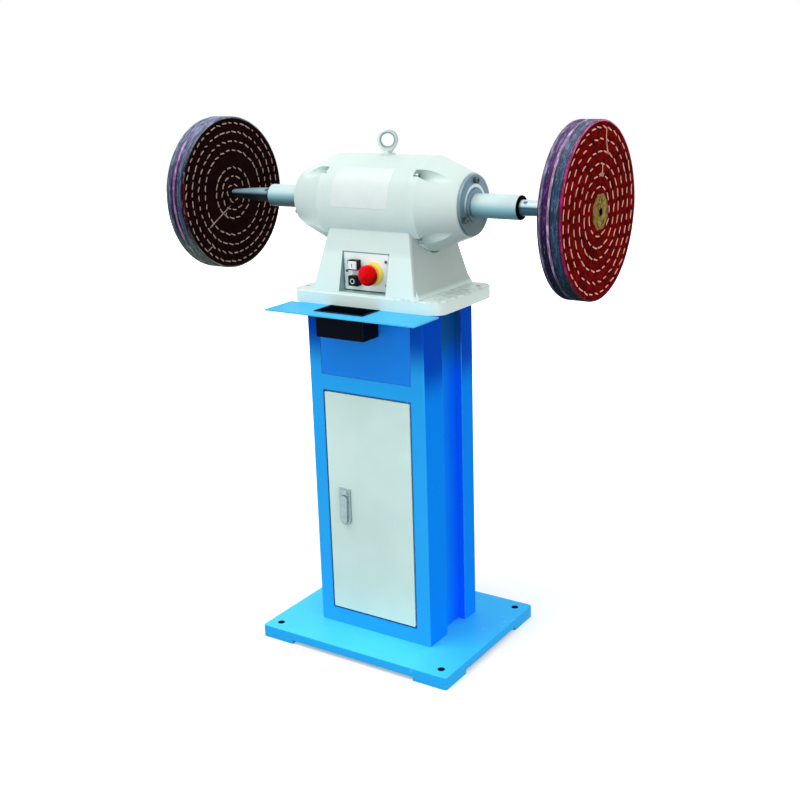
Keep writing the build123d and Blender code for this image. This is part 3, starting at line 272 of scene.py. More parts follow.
# The two wheels. The sign is the way out along x. Rings of stitches are radii from the rim inwards, with the
# length and pitch of a stitch. A join is where the thread steps across from one ring to another, with the
# degrees and millimetres of both ends. The share on top of the rim that takes the dust colour is painted
# light, and the polish colour under the rim is painted shade on the right wheel. Plies are the bands across a
# section's rim, each a share of its thickness from low to high x and a colour.
RIGHT_WHEEL = SimpleNamespace(
    side="right", sign=1, seed=46,
    rings=np.array([160.0, 138.0, 115.0, 92.0, 70.0, 47.5]) * MM, stitch=19.5 * MM, pitch=26 * MM,
    joins=[
        (81, 160, 80, 138), (80, 138, 74, 115), (77, 111, 73.5, 121), (71, 111, 74, 119),
        (84.5, 92, 82.5, 70), (93, 67, 89, 75), (86, 76, 84, 66), (80, 67, 77, 75),
    ],
    dye=MAROON, deep=MAROON_DEEP, thread=THREAD_PINK, polish=DARK_RIM_SHADE, dust=MAUVE_TOP_LIGHT, top_light=0.4,
    inner_plies=[
        (0.0, DULL_RED), (0.1, DULL_RED), (0.12, NAVY), (0.17, GREY_LILAC), (0.28, GREY_LILAC), (0.36, NAVY),
        (0.5, PURPLE), (0.6, PLUM), (0.72, PLUM), (0.8, NAVY), (0.85, LILAC), (1.0, LILAC),
    ],
    outer_plies=[
        (0.0, NAVY), (0.1, NAVY), (0.2, SLATE), (0.3, DENIM), (0.62, DENIM), (0.74, SLATE), (0.83, NAVY),
        (0.88, MAGENTA), (1.0, MAGENTA),
    ],
)
LEFT_WHEEL = SimpleNamespace(
    side="left", sign=-1, seed=39,
    rings=np.array([160.0, 140.0, 119.0, 97.5, 59.0, 39.0, 20.0]) * MM, stitch=15.5 * MM, pitch=20.5 * MM,
    joins=[(217, 121, 245, 29), (233, 52, 238, 62), (232.5, 143, 229.5, 161)],
    dye=UMBER, deep=UMBER_DEEP, thread=THREAD_CREAM, polish=GREY_POLISH, dust=BLUE_TOP_LIGHT, top_light=0.8,
    inner_plies=[
        (0.0, PURPLE), (0.12, PURPLE), (0.22, NAVY), (0.34, STEEL_BLUE), (0.62, STEEL_BLUE), (0.74, SLATE),
        (0.84, NAVY), (1.0, UMBER),
    ],
    outer_plies=[
        (0.0, TEAL_GREY), (0.5, TEAL_GREY), (0.6, NAVY), (0.7, PURPLE), (0.8, PURPLE), (0.86, PINK_LILAC),
        (1.0, PINK_LILAC),
    ],
)


def middle(node):
    """Centre of a CAD node's box."""
    low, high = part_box(node)
    return (np.array(low) + np.array(high)) / 2


def grown_box(node, margin):
    """Low and high corner of a CAD node's box, moved out by a margin along x, y and z."""
    low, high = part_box(node)
    return np.array(low) - margin, np.array(high) + margin


AXIS_Y, AXIS_Z = middle("rotor_shaft")[1:]


# Shader building

class Value:
    """A socket in a node tree, with arithmetic that adds the Math nodes."""

    def __init__(self, nodes, socket):
        self.nodes = nodes
        self.socket = socket

    def __add__(self, other):
        return self.nodes.math("ADD", self, other)

    def __radd__(self, other):
        return self.nodes.math("ADD", other, self)

    def __sub__(self, other):
        return self.nodes.math("SUBTRACT", self, other)

    def __rsub__(self, other):
        return self.nodes.math("SUBTRACT", other, self)

    def __mul__(self, other):
        return self.nodes.math("MULTIPLY", self, other)

    def __rmul__(self, other):
        return self.nodes.math("MULTIPLY", other, self)

    def __truediv__(self, other):
        return self.nodes.math("DIVIDE", self, other)

    def __rtruediv__(self, other):
        return self.nodes.math("DIVIDE", other, self)

    def __neg__(self):
        return self.nodes.math("SUBTRACT", 0.0, self)

    def __abs__(self):
        return self.nodes.math("ABSOLUTE", self)

    def sin(self):
        return self.nodes.math("SINE", self)

    def root(self):
        return self.nodes.math("SQRT", self)

    def wave(self, pitch):
        """Sine with a wavelength, from -1 to 1."""
        return (self * (TURN / pitch)).sin()

    def between(self, low, high):
        """0 below low, 1 above high, smooth in between."""
        settings = {"interpolation_type": "SMOOTHSTEP"}
        sockets = {"Value": self, "From Min": low, "From Max": high}
        return self.nodes.node("ShaderNodeMapRange", settings, sockets)

    def within(self, rise, fall):
        """0, then 1 from the end of a smooth rise to the start of a smooth fall, then 0."""
        return self.between(*rise) * (1.0 - self.between(*fall))


class Nodes:
    """The node tree of a material or world, emptied, with one method that makes any node."""

    def __init__(self, owner):
        owner.use_nodes = True
        self.tree = owner.node_tree
        self.tree.nodes.clear()

    def feed(self, socket, value):
        """Link a Value to a socket, or set a plain number, colour or vector on it."""
        if isinstance(value, Value):
            self.tree.links.new(value.socket, socket)
        elif hasattr(socket.default_value, "__len__") and len(socket.default_value) == 4:
            socket.default_value = (*value[:3], 1.0)
        else:
            socket.default_value = value

    def node(self, kind, settings=None, inputs=None, output=0):
        """Any node: its type, its settings first, then the values or links of its sockets."""
        made = self.tree.nodes.new(kind)
        for name, value in (settings or {}).items():
            if name == "stops":
                ramp = made.color_ramp.elements
                while len(ramp) < len(value):
                    ramp.new(1.0)
                for element, (position, colour) in zip(ramp, value):
                    element.position = position
                    element.color = (*colour, 1.0)
            else:
                setattr(made, name, value)
        for name, value in (inputs or {}).items():
            self.feed(made.inputs[name], value)
        return Value(self, made.outputs[output]) if len(made.outputs) else None

    def math(self, operation, *values):
        return self.node("ShaderNodeMath", {"operation": operation}, dict(enumerate(values)))

    def seen_directly(self):
        """1 on rays from the camera, off metal or through glass, 0 on the others."""
        names = ("Is Camera Ray", "Is Glossy Ray", "Is Transmission Ray")
        camera, glossy, through = (self.node("ShaderNodeLightPath", output=name) for name in names)
        return self.math("MAXIMUM", self.math("MAXIMUM", camera, glossy), through)


class Finish(Nodes):
    """One material: a Principled shader and the nodes that feed it."""

    def __init__(self, name, **constants):
        self.material = bpy.data.materials.new(name)
        super().__init__(self.material)
        settings = {socket.replace("_", " "): value for socket, value in constants.items()}
        shader = self.node("ShaderNodeBsdfPrincipled", {}, settings)
        self.node("ShaderNodeOutputMaterial", {}, {"Surface": shader})
        self.sockets = shader.socket.node.inputs
        self.place = self.node("ShaderNodeTexCoord", output="Object")

    def mix(self, share, first, second):
        """From the first colour to the second as share goes from 0 to 1."""
        settings = {"data_type": "RGBA", "clamp_factor": True}
        return self.node("ShaderNodeMix", settings, {0: share, 6: first, 7: second}, output=2)

    def ramp(self, share, stops):
        """Colour at a share from 0 to 1, between stops that are each a share and a colour."""
        return self.node("ShaderNodeValToRGB", {"stops": stops}, {0: share})

    def noise(self, scale, detail=2.0, stretch=(1, 1, 1), roughness=0.5):
        """Soft noise from 0 to 1 on the piece's own coordinates, finer for a larger scale per metre."""
        stretched = self.node("ShaderNodeMapping", {}, {"Vector": self.place, "Scale": stretch})
        sockets = {"Vector": stretched, "Scale": scale, "Detail": detail, "Roughness": roughness}
        return self.node("ShaderNodeTexNoise", {}, sockets)

    def split(self, vector):
        """The x, y and z of a vector."""
        parts = self.node("ShaderNodeSeparateXYZ", {}, {0: vector}).socket.node
        return [Value(self, parts.outputs[i]) for i in range(3)]

    def axes(self):
        """The x, y and z of the piece's own coordinates."""
        return self.split(self.place)

    def radius(self):
        """Distance from the spindle axis."""
        _, y, z = self.axes()
        dy = y - AXIS_Y
        dz = z - AXIS_Z
        return (dy * dy + dz * dz).root()

    def inside(self, low, high, soft=0.2 * MM):
        """1 within a box of the piece's own coordinates, 0 outside it."""
        share = 1.0
        for run, a, b in zip(self.axes(), low, high):
            share = share * run.within((a - soft, a + soft), (b - soft, b + soft))
        return share

    def rounded_edge(self, radius):
        """Normal of the surface with its edges eased by a radius."""
        return self.node("ShaderNodeBevel", {"samples": 4}, {"Radius": radius})

    def edge_mask(self, radius):
        """1 near sharp edges, 0 on open faces: how far the eased normal leans from the true one."""
        true = self.node("ShaderNodeNewGeometry", output="Normal")
        sockets = {0: self.rounded_edge(radius), 1: true}
        lean = self.node("ShaderNodeVectorMath", {"operation": "DOT_PRODUCT"}, sockets, output="Value")
        return (1.0 - lean).between(0.02, 0.25)

    def surface(self, colour, roughness, height, depth, ease=None, metallic=None, coat=None):
        """Feed the shader: colour, roughness, a relief of a depth in metres, and edges eased by a radius."""
        relief = {"Height": height, "Distance": depth, "Strength": 1.0}
        if ease:
            relief["Normal"] = self.rounded_edge(ease)
        normal = self.node("ShaderNodeBump", {}, relief)
        fed = {"Base Color": colour, "Roughness": roughness, "Normal": normal}
        fed.update({"Metallic": metallic, "Coat Weight": coat})
        for name, value in fed.items():
            if value is not None:
                self.feed(self.sockets[name], value)
        return self.material


def tint(colour, factor):
    """A colour made lighter or darker by a factor."""
    return tuple(min(1.0, c * factor) for c in colour)


def grey(share):
    """A grey of a brightness."""
    return (share,) * 3


# Finishes

def sprayed_wear(f):
    """Wear of sprayed enamel: slow drifts of tone, and edges rubbed here and there."""
    drift = f.noise(4.5, 3).between(0.25, 0.8)
    edge = f.edge_mask(1.6 * MM) * f.noise(130, 3).between(0.3, 0.7)
    return drift, edge


def upright_scuffs(f):
    """Scuffs of an upright sheet: sparse blotches, drawn out in height."""
    return f.noise(70, 5, (1, 1, 0.35)).between(0.66, 0.78)


def sprayed_coat(f, colour, scuffs, gloss=0.32):
    """Surface of sprayed enamel: duller where it is scuffed, with orange peel and eased edges."""
    rough = gloss + 0.1 * f.noise(22, 4) + 0.12 * scuffs
    return f.surface(colour, rough, f.noise(520, 1), 0.12 * MM, ease=0.8 * MM)


def enamel(name, colour, gloss=0.32, worn=0.35, shine=0.08):
    """Sprayed enamel on sheet steel, its edges rubbed a little lighter."""
    f = Finish(name, Specular_IOR_Level=shine)
    drift, edge = sprayed_wear(f)
    scuffs = upright_scuffs(f)
    toned = f.mix(drift, tint(colour, 0.9), tint(colour, 1.06))
    rubbed = f.mix(scuffs * 0.12, toned, tint(colour, 1.6))
    painted = f.mix(edge * worn, rubbed, RUBBED_EDGE)
    return sprayed_coat(f, painted, scuffs, gloss)


def column_enamel(name, front_colour, side_colour, shade_heights, shade_colour, gap=None, deepens=None):
    """Enamel of the column: the front paler, the side walls deeper as painted shade, and painted shadow at the
    top.

    The painted shadow of the tray sets in between two heights and reaches lower on the walls, and painted
    shade lines the gap round the door. With deepens, the colour goes over to the deeper one between two
    stations along y instead, as painted shade deeper into a recess.
    """
    f = Finish(name, Specular_IOR_Level=0.03, IOR=1.15)
    x, y, z = f.axes()
    drift, edge = sprayed_wear(f)
    scuffs = upright_scuffs(f)
    low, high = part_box("column_front")
    half = (high[0] - low[0]) / 2
    wall = abs(x - low[0] - half).between(half - 0.6 * MM, half - 0.2 * MM)
    # The side walls, and the back of a recess, take the deeper blue: painted shade.
    colour = f.mix(y.between(*deepens) if deepens else wall, front_colour, side_colour)
    toned = f.mix(drift * 0.12, colour, tint(side_colour, 0.5))
    # Painted shadow of the tray on the column's top, reaching lower on the side walls.
    top_shade = (z + WALL_DROP * wall).between(*shade_heights)
    grimed = f.mix(top_shade * 0.9, toned, shade_colour)
    # Painted shade lining the gap round the door.
    if gap:
        grimed = f.mix(f.inside(*gap) * 0.8, grimed, GAP_SHADE_BLUE)
    rubbed = f.mix(scuffs * 0.06 + edge * 0.3, grimed, RUBBED_BLUE)
    return sprayed_coat(f, rubbed, scuffs)


def plate_enamel(name):
    """Enamel of the base plate: top paler as painted light, painted shade at its edges, right rear and anchor
    holes.
    """
    f = Finish(name, Specular_IOR_Level=0.05)
    x, y, z = f.axes()
    drift, edge = sprayed_wear(f)
    scuffs = f.noise(60, 5).between(0.62, 0.76)
    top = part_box("base_plate")[1][2]
    centre = middle("base_plate")
    toned = f.mix(drift, tint(BASE_BLUE, 0.93), tint(BASE_BLUE, 1.05))
    # Painted shade deepening the top towards the right rear.
    toned = f.mix((x + 0.6 * y).between(*TOP_SHADE_RUN) * 0.75, toned, BASE_SHADE_BLUE)
    # Top paler than the edges: painted light.
    lit_and_shaded = f.mix(z.between(top - 0.7 * MM, top - 0.3 * MM), BASE_SHADE_BLUE, toned)
    rubbed = f.mix(scuffs * 0.15 + edge * 0.4, lit_and_shaded, RUBBED_BASE)
    across = abs(x - centre[0]) - ANCHOR_HALF[0]
    along = abs(y - centre[1]) - ANCHOR_HALF[1]
    away = (across * across + along * along).root()
    # Anchor holes near black: painted shade in the holes.
    painted_shade = (1.0 - away.between(ANCHOR_RADIUS, ANCHOR_RADIUS + 0.6 * MM)) * 0.95
    return sprayed_coat(f, f.mix(painted_shade, rubbed, HOLE_SHADE_BLACK), scuffs)


def cast_enamel(name, far_colour):
    """Gloss enamel over filled cast iron: slow waves, pin-holes, and painted shade on the switch hollow's
    walls.

    It goes over to another colour out along the spindle. It is a little paler below the barrel as painted
    light, grey with polishing dust on the right of the flange, and has painted shade below the barrel where it
    faces the right wheel.
    """
    f = Finish(name, Specular_IOR_Level=0.2, Coat_Roughness=0.14)
    x, _, z = f.axes()
    flange_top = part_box("tray_plate")[1][2] + FLANGE_THICK
    above = z - flange_top
    drift = f.noise(7, 3).between(0.2, 0.8)
    pits = f.noise(380, 2).between(0.7, 0.82)
    near, far = (f.mix(drift, tint(colour, 0.94), tint(colour, 1.03)) for colour in (CAST_WHITE, far_colour))
    toned = f.mix(abs(x).between(*BELL_STATIONS), near, far)
    # Painted light: the pedestal below the barrel a little paler.
    toned = f.mix(above.between(*PEDESTAL_LIGHT_TOP), tint(CAST_WHITE, 1.12), toned)
    on_top = above.within((-5 * MM, -2 * MM), (0.0, 2 * MM))
    dust = on_top * x.between(*DUST_STATIONS) * f.noise(85, 5).between(0.42, 0.62)
    toned = f.mix(dust * 0.42, toned, CASTING_DUST)
    # Painted shade on faces turned to the right, below the barrel.
    facing = f.split(f.node("ShaderNodeNewGeometry", output="Normal"))[0].between(0.1, 0.38)
    low = above.between(2 * MM, 12 * MM) * (1.0 - (z - AXIS_Z).between(*SHADE_TOP))
    toned = f.mix(facing * low * 0.8, toned, tint(CAST_WHITE, 0.6))
    pitted = f.mix(pits * 0.25, toned, tint(CAST_WHITE, 0.6))
    rubbed = f.mix(f.edge_mask(2.5 * MM) * 0.3, pitted, tint(CAST_WHITE, 1.12))
    # Painted shade on the switch hollow's walls round the panel.
    painted = f.mix(f.inside(*grown_box("switch_panel", HOLLOW_MARGIN)) * 0.8, rubbed, HOLLOW_SHADE_GREY)
    rough = 0.26 + 0.12 * f.noise(30, 4)
    height = f.noise(48, 2) + 0.08 * f.noise(420, 2) - 0.3 * pits
    return f.surface(painted, rough, height, 0.5 * MM, ease=1.2 * MM, coat=0.06 + 0.08 * drift)


def turned_steel(
        name, colour, rough, pitch, metal, under_shade, darkening, below, across=False, rubbed=0.7, ring=None, film=None):
    """Lathe-turned steel: fine tool rings along the spindle or outwards, duller patches and painted shade
    underneath.

    The painted shade sets in between two heights below the axis, as shares of the radius, with a thinner
    painted shade higher up. Edges are rubbed bright, and a ring between two radii is a painted highlight.
    """
    f = Finish(name, Specular_IOR_Level=0.22)
    x, _, z = f.axes()
    out = f.radius()
    rings = (out if across else x).wave(pitch)
    bands = f.noise(60, 2) if across else f.noise(160, 2, (1, 0.05, 0.05))
    patches = f.noise(28, 4).between(0.35, 0.75)
    toned = f.mix(patches, tint(colour, 0.86), tint(colour, 1.08))
    toned = f.mix(rings * 0.5 + 0.5, tint(colour, 0.93), toned)
    # A ring of painted highlight round the flange's boss.
    if ring:
        inner, outer = ring
        polish_and_painted_light = out.within((inner - 1.5 * MM, inner + 1.5 * MM), (outer - MM, outer + MM))
        toned = f.mix(polish_and_painted_light, toned, HIGHLIGHT_STEEL)
    # Painted shade on the underside, below the axis, and a thinner painted shade above it.
    sunk = (AXIS_Z - z) / out
    if film:
        toned = f.mix(sunk.between(*film), toned, tuple(c * thin for c, thin in zip(colour, UNDERSHADE_FILM)))
    painted_shade = f.mix(sunk.between(*below) * darkening, toned, under_shade)
    bright = f.mix(f.edge_mask(1.2 * MM) * rubbed, painted_shade, tint(colour, 1.9))
    worn = rough + 0.12 * patches + 0.06 * bands
    return f.surface(bright, worn, rings + 1.5 * f.noise(90, 2), 0.012 * MM, ease=0.5 * MM, metallic=metal)


def plated(name, colour, rough, metal=1.0, right_shade=0.0, ring=None):
    """Zinc or nickel plating: bright with cloudy patches and fine scratches.

    It can have painted shade where it faces right, and painted shade round the hole of a ring, given by its
    centre and its two radii.
    """
    f = Finish(name, Specular_IOR_Level=0.3)
    cloud = f.noise(120, 4).between(0.3, 0.75)
    lines = f.noise(260, 3, (6, 6, 0.4)).between(0.55, 0.75)
    toned = f.mix(cloud, tint(colour, 0.88), tint(colour, 1.07))
    bright = f.mix(f.edge_mask(0.8 * MM) * 0.6, toned, tint(colour, 1.5))
    # Painted shade round the hole of the lifting ring.
    if ring:
        centre, hole, rim = ring
        dx, dy, dz = (run - c for run, c in zip(f.axes(), centre))
        out = (dx * dx + dy * dy + dz * dz).root()
        bright = f.mix(1.0 - out.between(hole + 2 * MM, rim - 3 * MM), bright, tint(colour, 0.4))
    # Painted shade on faces turned to the right.
    if right_shade:
        facing = f.split(f.node("ShaderNodeTexCoord", output="Normal"))[0].between(0.25, 0.8)
        bright = f.mix(facing * right_shade, bright, tint(colour, 0.25))
    worn = rough + 0.14 * cloud + 0.1 * lines
    return f.surface(bright, worn, lines, 0.02 * MM, ease=0.6 * MM, metallic=metal)


def brushed_plate(name, colour):
    """Satin switch plate: long fine brush lines across it."""
    f = Finish(name)
    lines = f.noise(300, 4, (0.06, 1, 7))
    cloud = f.noise(60, 3).between(0.3, 0.8)
    toned = f.mix(lines, tint(colour, 0.93), tint(colour, 1.08))
    clouded = f.mix(cloud * 0.2, toned, tint(colour, 0.85))
    return f.surface(clouded, 0.38 + 0.16 * lines, lines, 0.04 * MM, ease=0.5 * MM)


def moulded(name, colour, gloss, shine=0.12, lit_and_shaded=None):
    """Moulded plastic: fine spark texture, slight unevenness of tone, rubbed edges.

    Given a centre, a reach and a highlight colour, it has a painted highlight to the upper left and painted
    shade to the lower right.
    """
    f = Finish(name, Specular_IOR_Level=shine)
    tone = f.noise(90, 3).between(0.25, 0.8)
    toned = f.mix(tone, tint(colour, 0.86), tint(colour, 1.06))
    rubbed = f.mix(f.edge_mask(0.8 * MM) * 0.2, toned, tuple(min(1, c + 0.06) for c in colour))
    # Painted highlight to the upper left, painted shade to the lower right.
    if lit_and_shaded:
        centre, reach, lit_colour = lit_and_shaded
        x, _, z = f.axes()
        lean = (x - centre[0] - z + centre[2]) / reach
        rubbed = f.mix(lean.between(0.1, 1.5) * 0.85, rubbed, tint(colour, 0.25))
        rubbed = f.mix((-lean).between(0.1, 1.3) * 0.8, rubbed, lit_colour)
    return f.surface(rubbed, gloss + 0.12 * tone, f.noise(1600, 1), 0.06 * MM, ease=0.6 * MM)


def soft_rubber(name):
    """Black rubber with a dusty bloom."""
    f = Finish(name, Specular_IOR_Level=0.05, IOR=1.15)
    bloom = f.noise(140, 4).between(0.4, 0.85)
    black = f.mix(bloom, RUBBER_BLACK, RUBBER_BLOOM)
    return f.surface(black, 0.62 + 0.2 * bloom, f.noise(900, 2), 0.08 * MM)


def iron_laminations(name):
    """Stacked motor sheet: thin dark lines square to the spindle, with a film of varnish."""
    f = Finish(name)
    sheets = f.axes()[0].wave(0.9 * MM) * 0.5 + 0.5
    varnish = f.noise(60, 3).between(0.3, 0.75)
    iron = f.mix(sheets, SHEET_DARK, SHEET_IRON)
    brown = f.mix(varnish * 0.4, iron, SHEET_VARNISH)
    return f.surface(brown, 0.4 + 0.2 * varnish, sheets, 0.08 * MM, metallic=0.7 - 0.3 * varnish)


def wound_copper(name):
    """Varnished copper winding: strands running round the ring."""
    f = Finish(name)
    strands = (f.radius() * (TURN / (1.4 * MM)) + 3.0 * f.noise(40, 2)).sin() * 0.5 + 0.5
    varnish = f.noise(50, 3)
    copper = f.mix(strands, COPPER_DARK, COPPER)
    return f.surface(copper, 0.3 + 0.2 * varnish, strands, 0.4 * MM, metallic=0.8)


def woven_face(f, wheel, rim, weave, stain):
    """Colour of a wheel's face: dyed cloth, darker with soil and painted shade along the quilted seams and
    round the hole, its bore painted black as shade, stained maroon by the front rim.
    """
    out = f.radius()
    fleck = f.noise(210, 4).between(0.48, 0.7)
    blots = f.noise(17, 3).between(0.35, 0.68)
    darkening = tint(wheel.deep, 0.3)
    # Painted shade with soil along the quilted seams, and darker round the hole.
    seam_shade = [(0.0, WHITE), (8 * MM / rim, grey(0.9)), (11 * MM / rim, grey(0.3))]
    for ring in wheel.rings[::-1]:
        steps = ((-SEAM_HALF, 0.0), (0.0, 0.75), (SEAM_HALF, 0.0))
        seam_shade += [((ring + side) / rim, grey(soil)) for side, soil in steps]
    dyed = f.mix(0.75 * stain + 0.25 * blots, wheel.dye, wheel.deep)
    soiled = f.mix(f.ramp(out / rim, seam_shade) * (0.4 + 0.6 * fleck), dyed, darkening)
    flecked = f.mix(fleck * 0.4, soiled, darkening)
    woven = f.mix(weave * 0.1 + 0.1, flecked, tint(wheel.dye, 1.5))
    # The bore near black: painted shade in the hole.
    holed = f.mix(1.0 - out.between(7.2 * MM, 9 * MM), woven, BORE_SHADE_BLACK)
    near_rim = out.between(rim - 11 * MM, rim - 7 * MM)
    front = ((AXIS_Y - f.axes()[1]) / out).between(0.955, 0.985)
    return f.mix(near_rim * front * 0.75, holed, MAROON)


def cut_rim(f, wheel, plies, low_x, high_x, streaks, lint):
    """Colour of a wheel's rim: the cut edges of the plies as bands, streaked and frayed.

    They are paler on top of the wheel as painted light, with more lint, and below, where purple plies go navy,
    they go over to the wheel's lower colour: painted shade near black on the right wheel, a grey on the left.
    """
    x, _, z = f.axes()
    rise = (z - AXIS_Z) / f.radius()
    sway = (f.noise(7, 2) - 0.5) * 0.09
    across = (x - low_x) / (high_x - low_x) + sway
    # Painted shade under the rim: purple plies navy.
    shaded_plies = [(share, NAVY if ply in (PURPLE, PLUM) else ply) for share, ply in plies]
    # Painted light on top of the rim: paler plies.
    lit_plies = [(share, tint(ply, 1.6)) for share, ply in plies]
    shaded_bands, plain, lit_colour = (f.ramp(across, stops) for stops in (shaded_plies, plies, lit_plies))
    bands = f.mix(rise.between(-0.1, 0.85), f.mix(rise.between(-0.3, 0.1), shaded_bands, plain), lit_colour)
    # More of the dust colour on top: painted light.
    dusty = f.mix(rise.between(0.3, 1.0) * wheel.top_light, bands, wheel.dust)
    # Under the rim: painted shade on the right wheel, a grey on the left.
    polish_and_painted_light = f.mix((-rise).between(0.25, 0.85) * 0.8, dusty, wheel.polish)
    cut = f.mix(0.62 - 0.62 * streaks, polish_and_painted_light, CUT_DARK)
    return f.mix(lint * (0.28 + 0.2 * rise), cut, LINT)


def wheel_cloth(name, wheel, plies, low, high):
    """Sewn buff: a dyed weave on the faces, and the cut edges of the plies on the rim."""
    f = Finish(name, Specular_IOR_Level=0.02)
    _, y, z = f.axes()
    rim = (high[2] - low[2]) / 2
    weave = y.wave(WEAVE_PITCH) * z.wave(WEAVE_PITCH)
    stain = f.noise(52, 5, roughness=0.7).between(0.4, 0.62)
    streaks = f.noise(38, 4, (8, 1, 1), 0.6).between(0.42, 0.58)
    lint = f.noise(80, 4, (4, 1, 1), 0.65).between(0.55, 0.68)
    on_rim = f.radius().between(rim - 4.6 * MM, rim - 3.6 * MM)
    face = woven_face(f, wheel, rim, weave, stain)
    edge = cut_rim(f, wheel, plies, low[0], high[0], streaks, lint)
    face_height = weave * 0.3 + 1.4 * f.noise(150, 4)
    height = face_height * (1.0 - on_rim) + (2.0 * streaks + lint) * on_rim
    return f.surface(f.mix(on_rim, face, edge), 0.9 + 0.08 * stain, height, 0.8 * MM)


def twisted_thread(name, colour):
    """Cotton thread: diagonal lay along the stitch, soiled here and there."""
    f = Finish(name, Specular_IOR_Level=0.15)
    along, around, _ = f.split(f.node("ShaderNodeUVMap"))
    lay = (along * 34.0 + around * (2 * TURN)).sin() * 0.5 + 0.5
    soil = f.noise(60, 4).between(0.42, 0.72)
    clean = f.mix(lay, tint(colour, 0.72), tint(colour, 1.08))
    worn = f.mix(soil * 0.5, clean, tint(colour, 0.4))
    return f.surface(worn, 0.8 + 0.1 * soil, lay, 0.4 * MM)


def hide(name):
    """Rough hide: tan with dark green polish and yellow scuffs, its outer edge unscuffed, its hole painted
    black as shade.
    """
    f = Finish(name, Specular_IOR_Level=0.02)
    out = f.radius()
    blotch = f.noise(95, 4, roughness=0.6).between(0.5, 0.6)
    scuff = (1.0 - f.noise(70, 3).between(0.42, 0.52)) * (1.0 - out.between(29 * MM, 32 * MM))
    pores = f.node("ShaderNodeTexVoronoi", {"feature": "F1"}, {"Vector": f.place, "Scale": 420.0})
    scuffed = f.mix(scuff * 0.8, HIDE_TAN, HIDE_YELLOW)
    soiled = f.mix(blotch * 0.85, scuffed, HIDE_GREEN)
    # The hole near black: painted shade.
    holed = f.mix(1.0 - out.between(7 * MM, 8.5 * MM), soiled, BORE_SHADE_BLACK)
    return f.surface(holed, 0.6 + 0.2 * scuff, pores + 1.5 * f.noise(110, 4), 0.7 * MM)


def bare_sheet(name):
    """Bare self-adhesive plate: satin white with a trace of handling."""
    f = Finish(name)
    trace = f.noise(35, 4).between(0.35, 0.8)
    white = f.mix(trace, PLATE_WHITE, PLATE_HANDLED)
    return f.surface(white, 0.34 + 0.14 * trace, f.noise(700, 2), 0.03 * MM, ease=0.3 * MM)


# Mesh building

def piece(name, points, quads, finish, body, uv=None, smooth=True):
    """A mesh object from whole arrays of points and faces, riding on a body."""
    mesh = bpy.data.meshes.new(name)
    mesh.from_pydata(points.reshape(-1, 3).tolist(), [], quads.reshape(-1, 4).tolist())
    if uv is not None:
        layer = mesh.uv_layers.new(name="run")
        corners = np.zeros(len(mesh.loops), np.int32)
        mesh.loops.foreach_get("vertex_index", corners)
        layer.data.foreach_set("uv", uv.reshape(-1, 2)[corners].astype(np.float32).ravel())
    shaped = bmesh.new()
    shaped.from_mesh(mesh)
    bmesh.ops.remove_doubles(shaped, verts=shaped.verts, dist=DOUBLE_REACH)
    bmesh.ops.dissolve_degenerate(shaped, edges=shaped.edges, dist=SLIVER)
    bmesh.ops.recalc_face_normals(shaped, faces=shaped.faces)
    shaped.to_mesh(mesh)
    shaped.free()
    mesh.polygons.foreach_set("use_smooth", np.full(len(mesh.polygons), smooth))
    mesh.materials.append(finish)
    made = bpy.data.objects.new(name, mesh)
    bpy.context.scene.collection.objects.link(made)
    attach(made, body)
    return made


def grid_faces(rows, columns, close_rows, close_columns):
    """Quads over a grid of points, joined round where rows or columns close on themselves."""
    index = np.arange(rows * columns).reshape(rows, columns)
    right = np.roll(index, -1, axis=1)
    below = np.roll(index, -1, axis=0)
    corner = np.roll(below, -1, axis=1)
    quads = np.stack([index, right, corner, below], axis=-1)
    quads = quads if close_rows else quads[:-1]
    return quads if close_columns else quads[:, :-1]


def repeated_faces(quads, points, count):
    """The same quads for a count of shapes, each of so many points, that follow one another."""
    return quads.reshape(1, -1, 4) + points * np.arange(count)[:, None, None]


def around_spindle(x, radius, angle):
    """Points at a station along the spindle, a radius and an angle up from +Y."""
    x, radius, angle = np.broadcast_arrays(x, radius, angle)
    return np.stack([x, AXIS_Y + radius * np.cos(angle), AXIS_Z + radius * np.sin(angle)], axis=-1)


def ripple(angle, along, waves, seed):
    """A sum of sines in angle and along, with seeded phases and falling heights, between about -1 and 1."""
    rng = np.random.default_rng(seed)
    total = np.zeros(np.broadcast(angle, along).shape)
    for step, count in enumerate(waves):
        phase, lean = rng.uniform(0, TURN, 2)
        total = total + np.sin(count * angle + phase + lean * along) / (1 + 0.5 * step)
    return total / len(waves)


def stitch_counts(wheel):
    """Whole stitches that fit round each ring."""
    return np.round(TURN * wheel.rings / wheel.pitch).astype(int)


def valley(radius, angle, wheel):
    """How far the face is drawn in: a round valley along each ring, deepest at the middle of each stitch."""
    depth = np.zeros(np.broadcast(radius, angle).shape)
    for ring, count in zip(wheel.rings, stitch_counts(wheel)):
        pull = 0.8 + 0.2 * np.cos(count * angle)
        depth = depth + QUILT_DEPTH * pull * np.exp(-((radius - ring) / QUILT_WIDTH) ** 2)
    return depth


